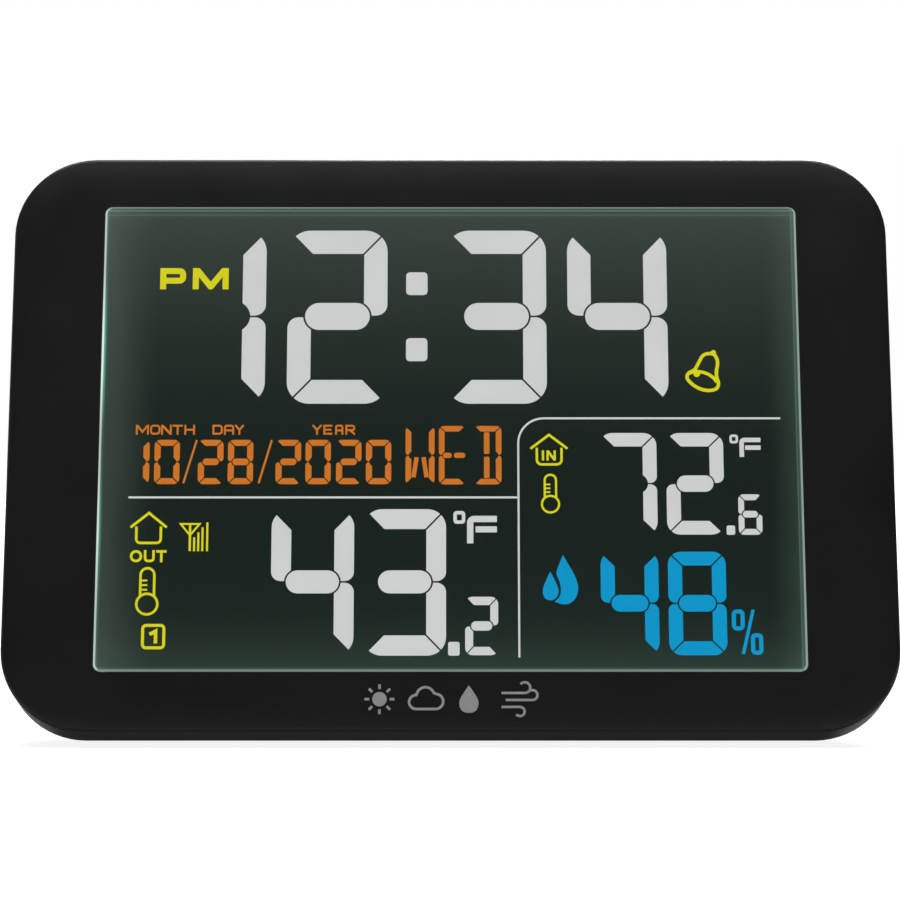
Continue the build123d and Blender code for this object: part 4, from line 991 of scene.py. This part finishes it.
# ----------------------------------------------------------------------
# Floor, lights and camera
# ----------------------------------------------------------------------
def lay_floor():
    """A wide floor that the camera sees as nearly white, with a faint painted contact shadow towards the
    object, and that shows as dim grey in reflections, with painted shade in a strip under the object.
    """
    mesh = bpy.data.meshes.new("floor")
    half = 14.0  # metres from the middle to each side
    steps = 24
    verts = []
    for i in range(steps + 1):
        for j in range(steps + 1):
            verts.append((half * (j / steps - 0.5) * 2, half * (i / steps - 0.5) * 2, 0.0))
    faces = []
    for i in range(steps):
        for j in range(steps):
            a = i * (steps + 1) + j
            faces.append((a, a + 1, a + steps + 2, a + steps + 1))
    mesh.from_pydata(verts, [], faces)
    material, tree, shader = blank("floor")
    where = node(tree, "TexCoord").outputs["Object"]
    distance = node(tree, "VectorMath", {0: where}, operation="LENGTH").outputs["Value"]
    seen = node(tree, "LightPath").outputs["Is Camera Ray"]
    # Painted contact shadow: the floor that the camera sees is a little darker near the object.
    seen_with_painted_shadow = maths(tree, "MULTIPLY", ramp(tree, distance, 0.1, 0.35, 0.88, 1.0), seen)
    depth = node(tree, "SeparateXYZ", {0: where}).outputs[1]
    # Painted shade: in reflections the floor is darker in a strip under the object.
    reflected_with_painted_shade = ramp(tree, maths(tree, "ABSOLUTE", depth), 0.03, 0.07, FLOOR_SHADE, FLOOR_GREY)
    reflected = maths(tree, "MULTIPLY", reflected_with_painted_shade, maths(tree, "SUBTRACT", 1.0, seen))
    tree.links.new(maths(tree, "ADD", seen_with_painted_shadow, reflected), shader.inputs["Emission Strength"])
    shader.inputs["Emission Color"].default_value = (1, 1, 1, 1)
    speckle = noise(tree, where, 1.5, 3.0)
    tone = blend_colours(tree, speckle, (0.40, 0.40, 0.40, 1), (0.43, 0.43, 0.43, 1))
    tree.links.new(tone, shader.inputs["Base Color"])
    shader.inputs["Roughness"].default_value = 0.9
    shader.inputs["Specular IOR Level"].default_value = 0.0
    mesh.materials.append(material)
    floor = bpy.data.objects.new("floor", mesh)
    bpy.context.scene.collection.objects.link(floor)


def softbox(name, place, target, size, power):
    """A rectangular area light that looks at a target."""
    light = bpy.data.lights.new(name, "AREA")
    light.shape = "RECTANGLE"
    light.size, light.size_y = size
    light.energy = power
    lamp = bpy.data.objects.new(name, light)
    lamp.location = place
    lamp.rotation_mode = "QUATERNION"
    lamp.rotation_quaternion = (Vector(target) - Vector(place)).to_track_quat("-Z", "Y")
    bpy.context.scene.collection.objects.link(lamp)


def light_room():
    """A pale room: white where the camera looks at it, and dim grey where it is only reflected."""
    world = bpy.data.worlds.new("room")
    world.use_nodes = True
    tree = world.node_tree
    tree.nodes.clear()
    dim = node(tree, "Background", {"Color": (1, 1, 1, 1), "Strength": ROOM_GREY})
    bright = node(tree, "Background", {"Color": (1, 1, 1, 1), "Strength": 1.0})
    seen = node(tree, "LightPath").outputs["Is Camera Ray"]
    mixer = node(tree, "MixShader", {0: seen, 1: dim.outputs[0], 2: bright.outputs[0]})
    output = node(tree, "OutputWorld")
    tree.links.new(mixer.outputs[0], output.inputs["Surface"])
    bpy.context.scene.world = world


lay_floor()
light_room()
middle = FACE @ Vector((0.0, 0.0, 0.0))
# Each light has a name, a place, a target, a width and height in metres, and its watts.
softbox("overhead", (0.0, -0.03, 0.70), middle, (0.7, 0.32), 2.7)
softbox("left_strip", (-1.1, 0.05, 0.35), middle, (0.25, 0.9), 0.8)
softbox("right_strip", (1.1, 0.05, 0.35), middle, (0.25, 0.9), 0.2)
softbox("low_strip", (0.0, -1.3, 0.12), middle, (1.8, 0.05), 1.1)
softbox("back_fill", (0.3, 1.3, 0.7), middle, (0.8, 0.5), 24.0)

camera = bpy.data.objects.new("camera", bpy.data.cameras.new("camera"))
aim = middle + Vector((CAMERA_SIDE * MM, 0.0, CAMERA_LIFT * MM))
look = Vector((0.0, math.cos(CAMERA_RISE), -math.sin(CAMERA_RISE)))
camera.location = aim - look * CAMERA_DISTANCE
camera.rotation_mode = "QUATERNION"
camera.rotation_quaternion = look.to_track_quat("-Z", "Y")
camera.data.lens = CAMERA_LENS
camera.data.sensor_width = 36.0
bpy.context.scene.collection.objects.link(camera)
bpy.context.scene.camera = camera
bpy.context.scene.view_settings.view_transform = "Standard"
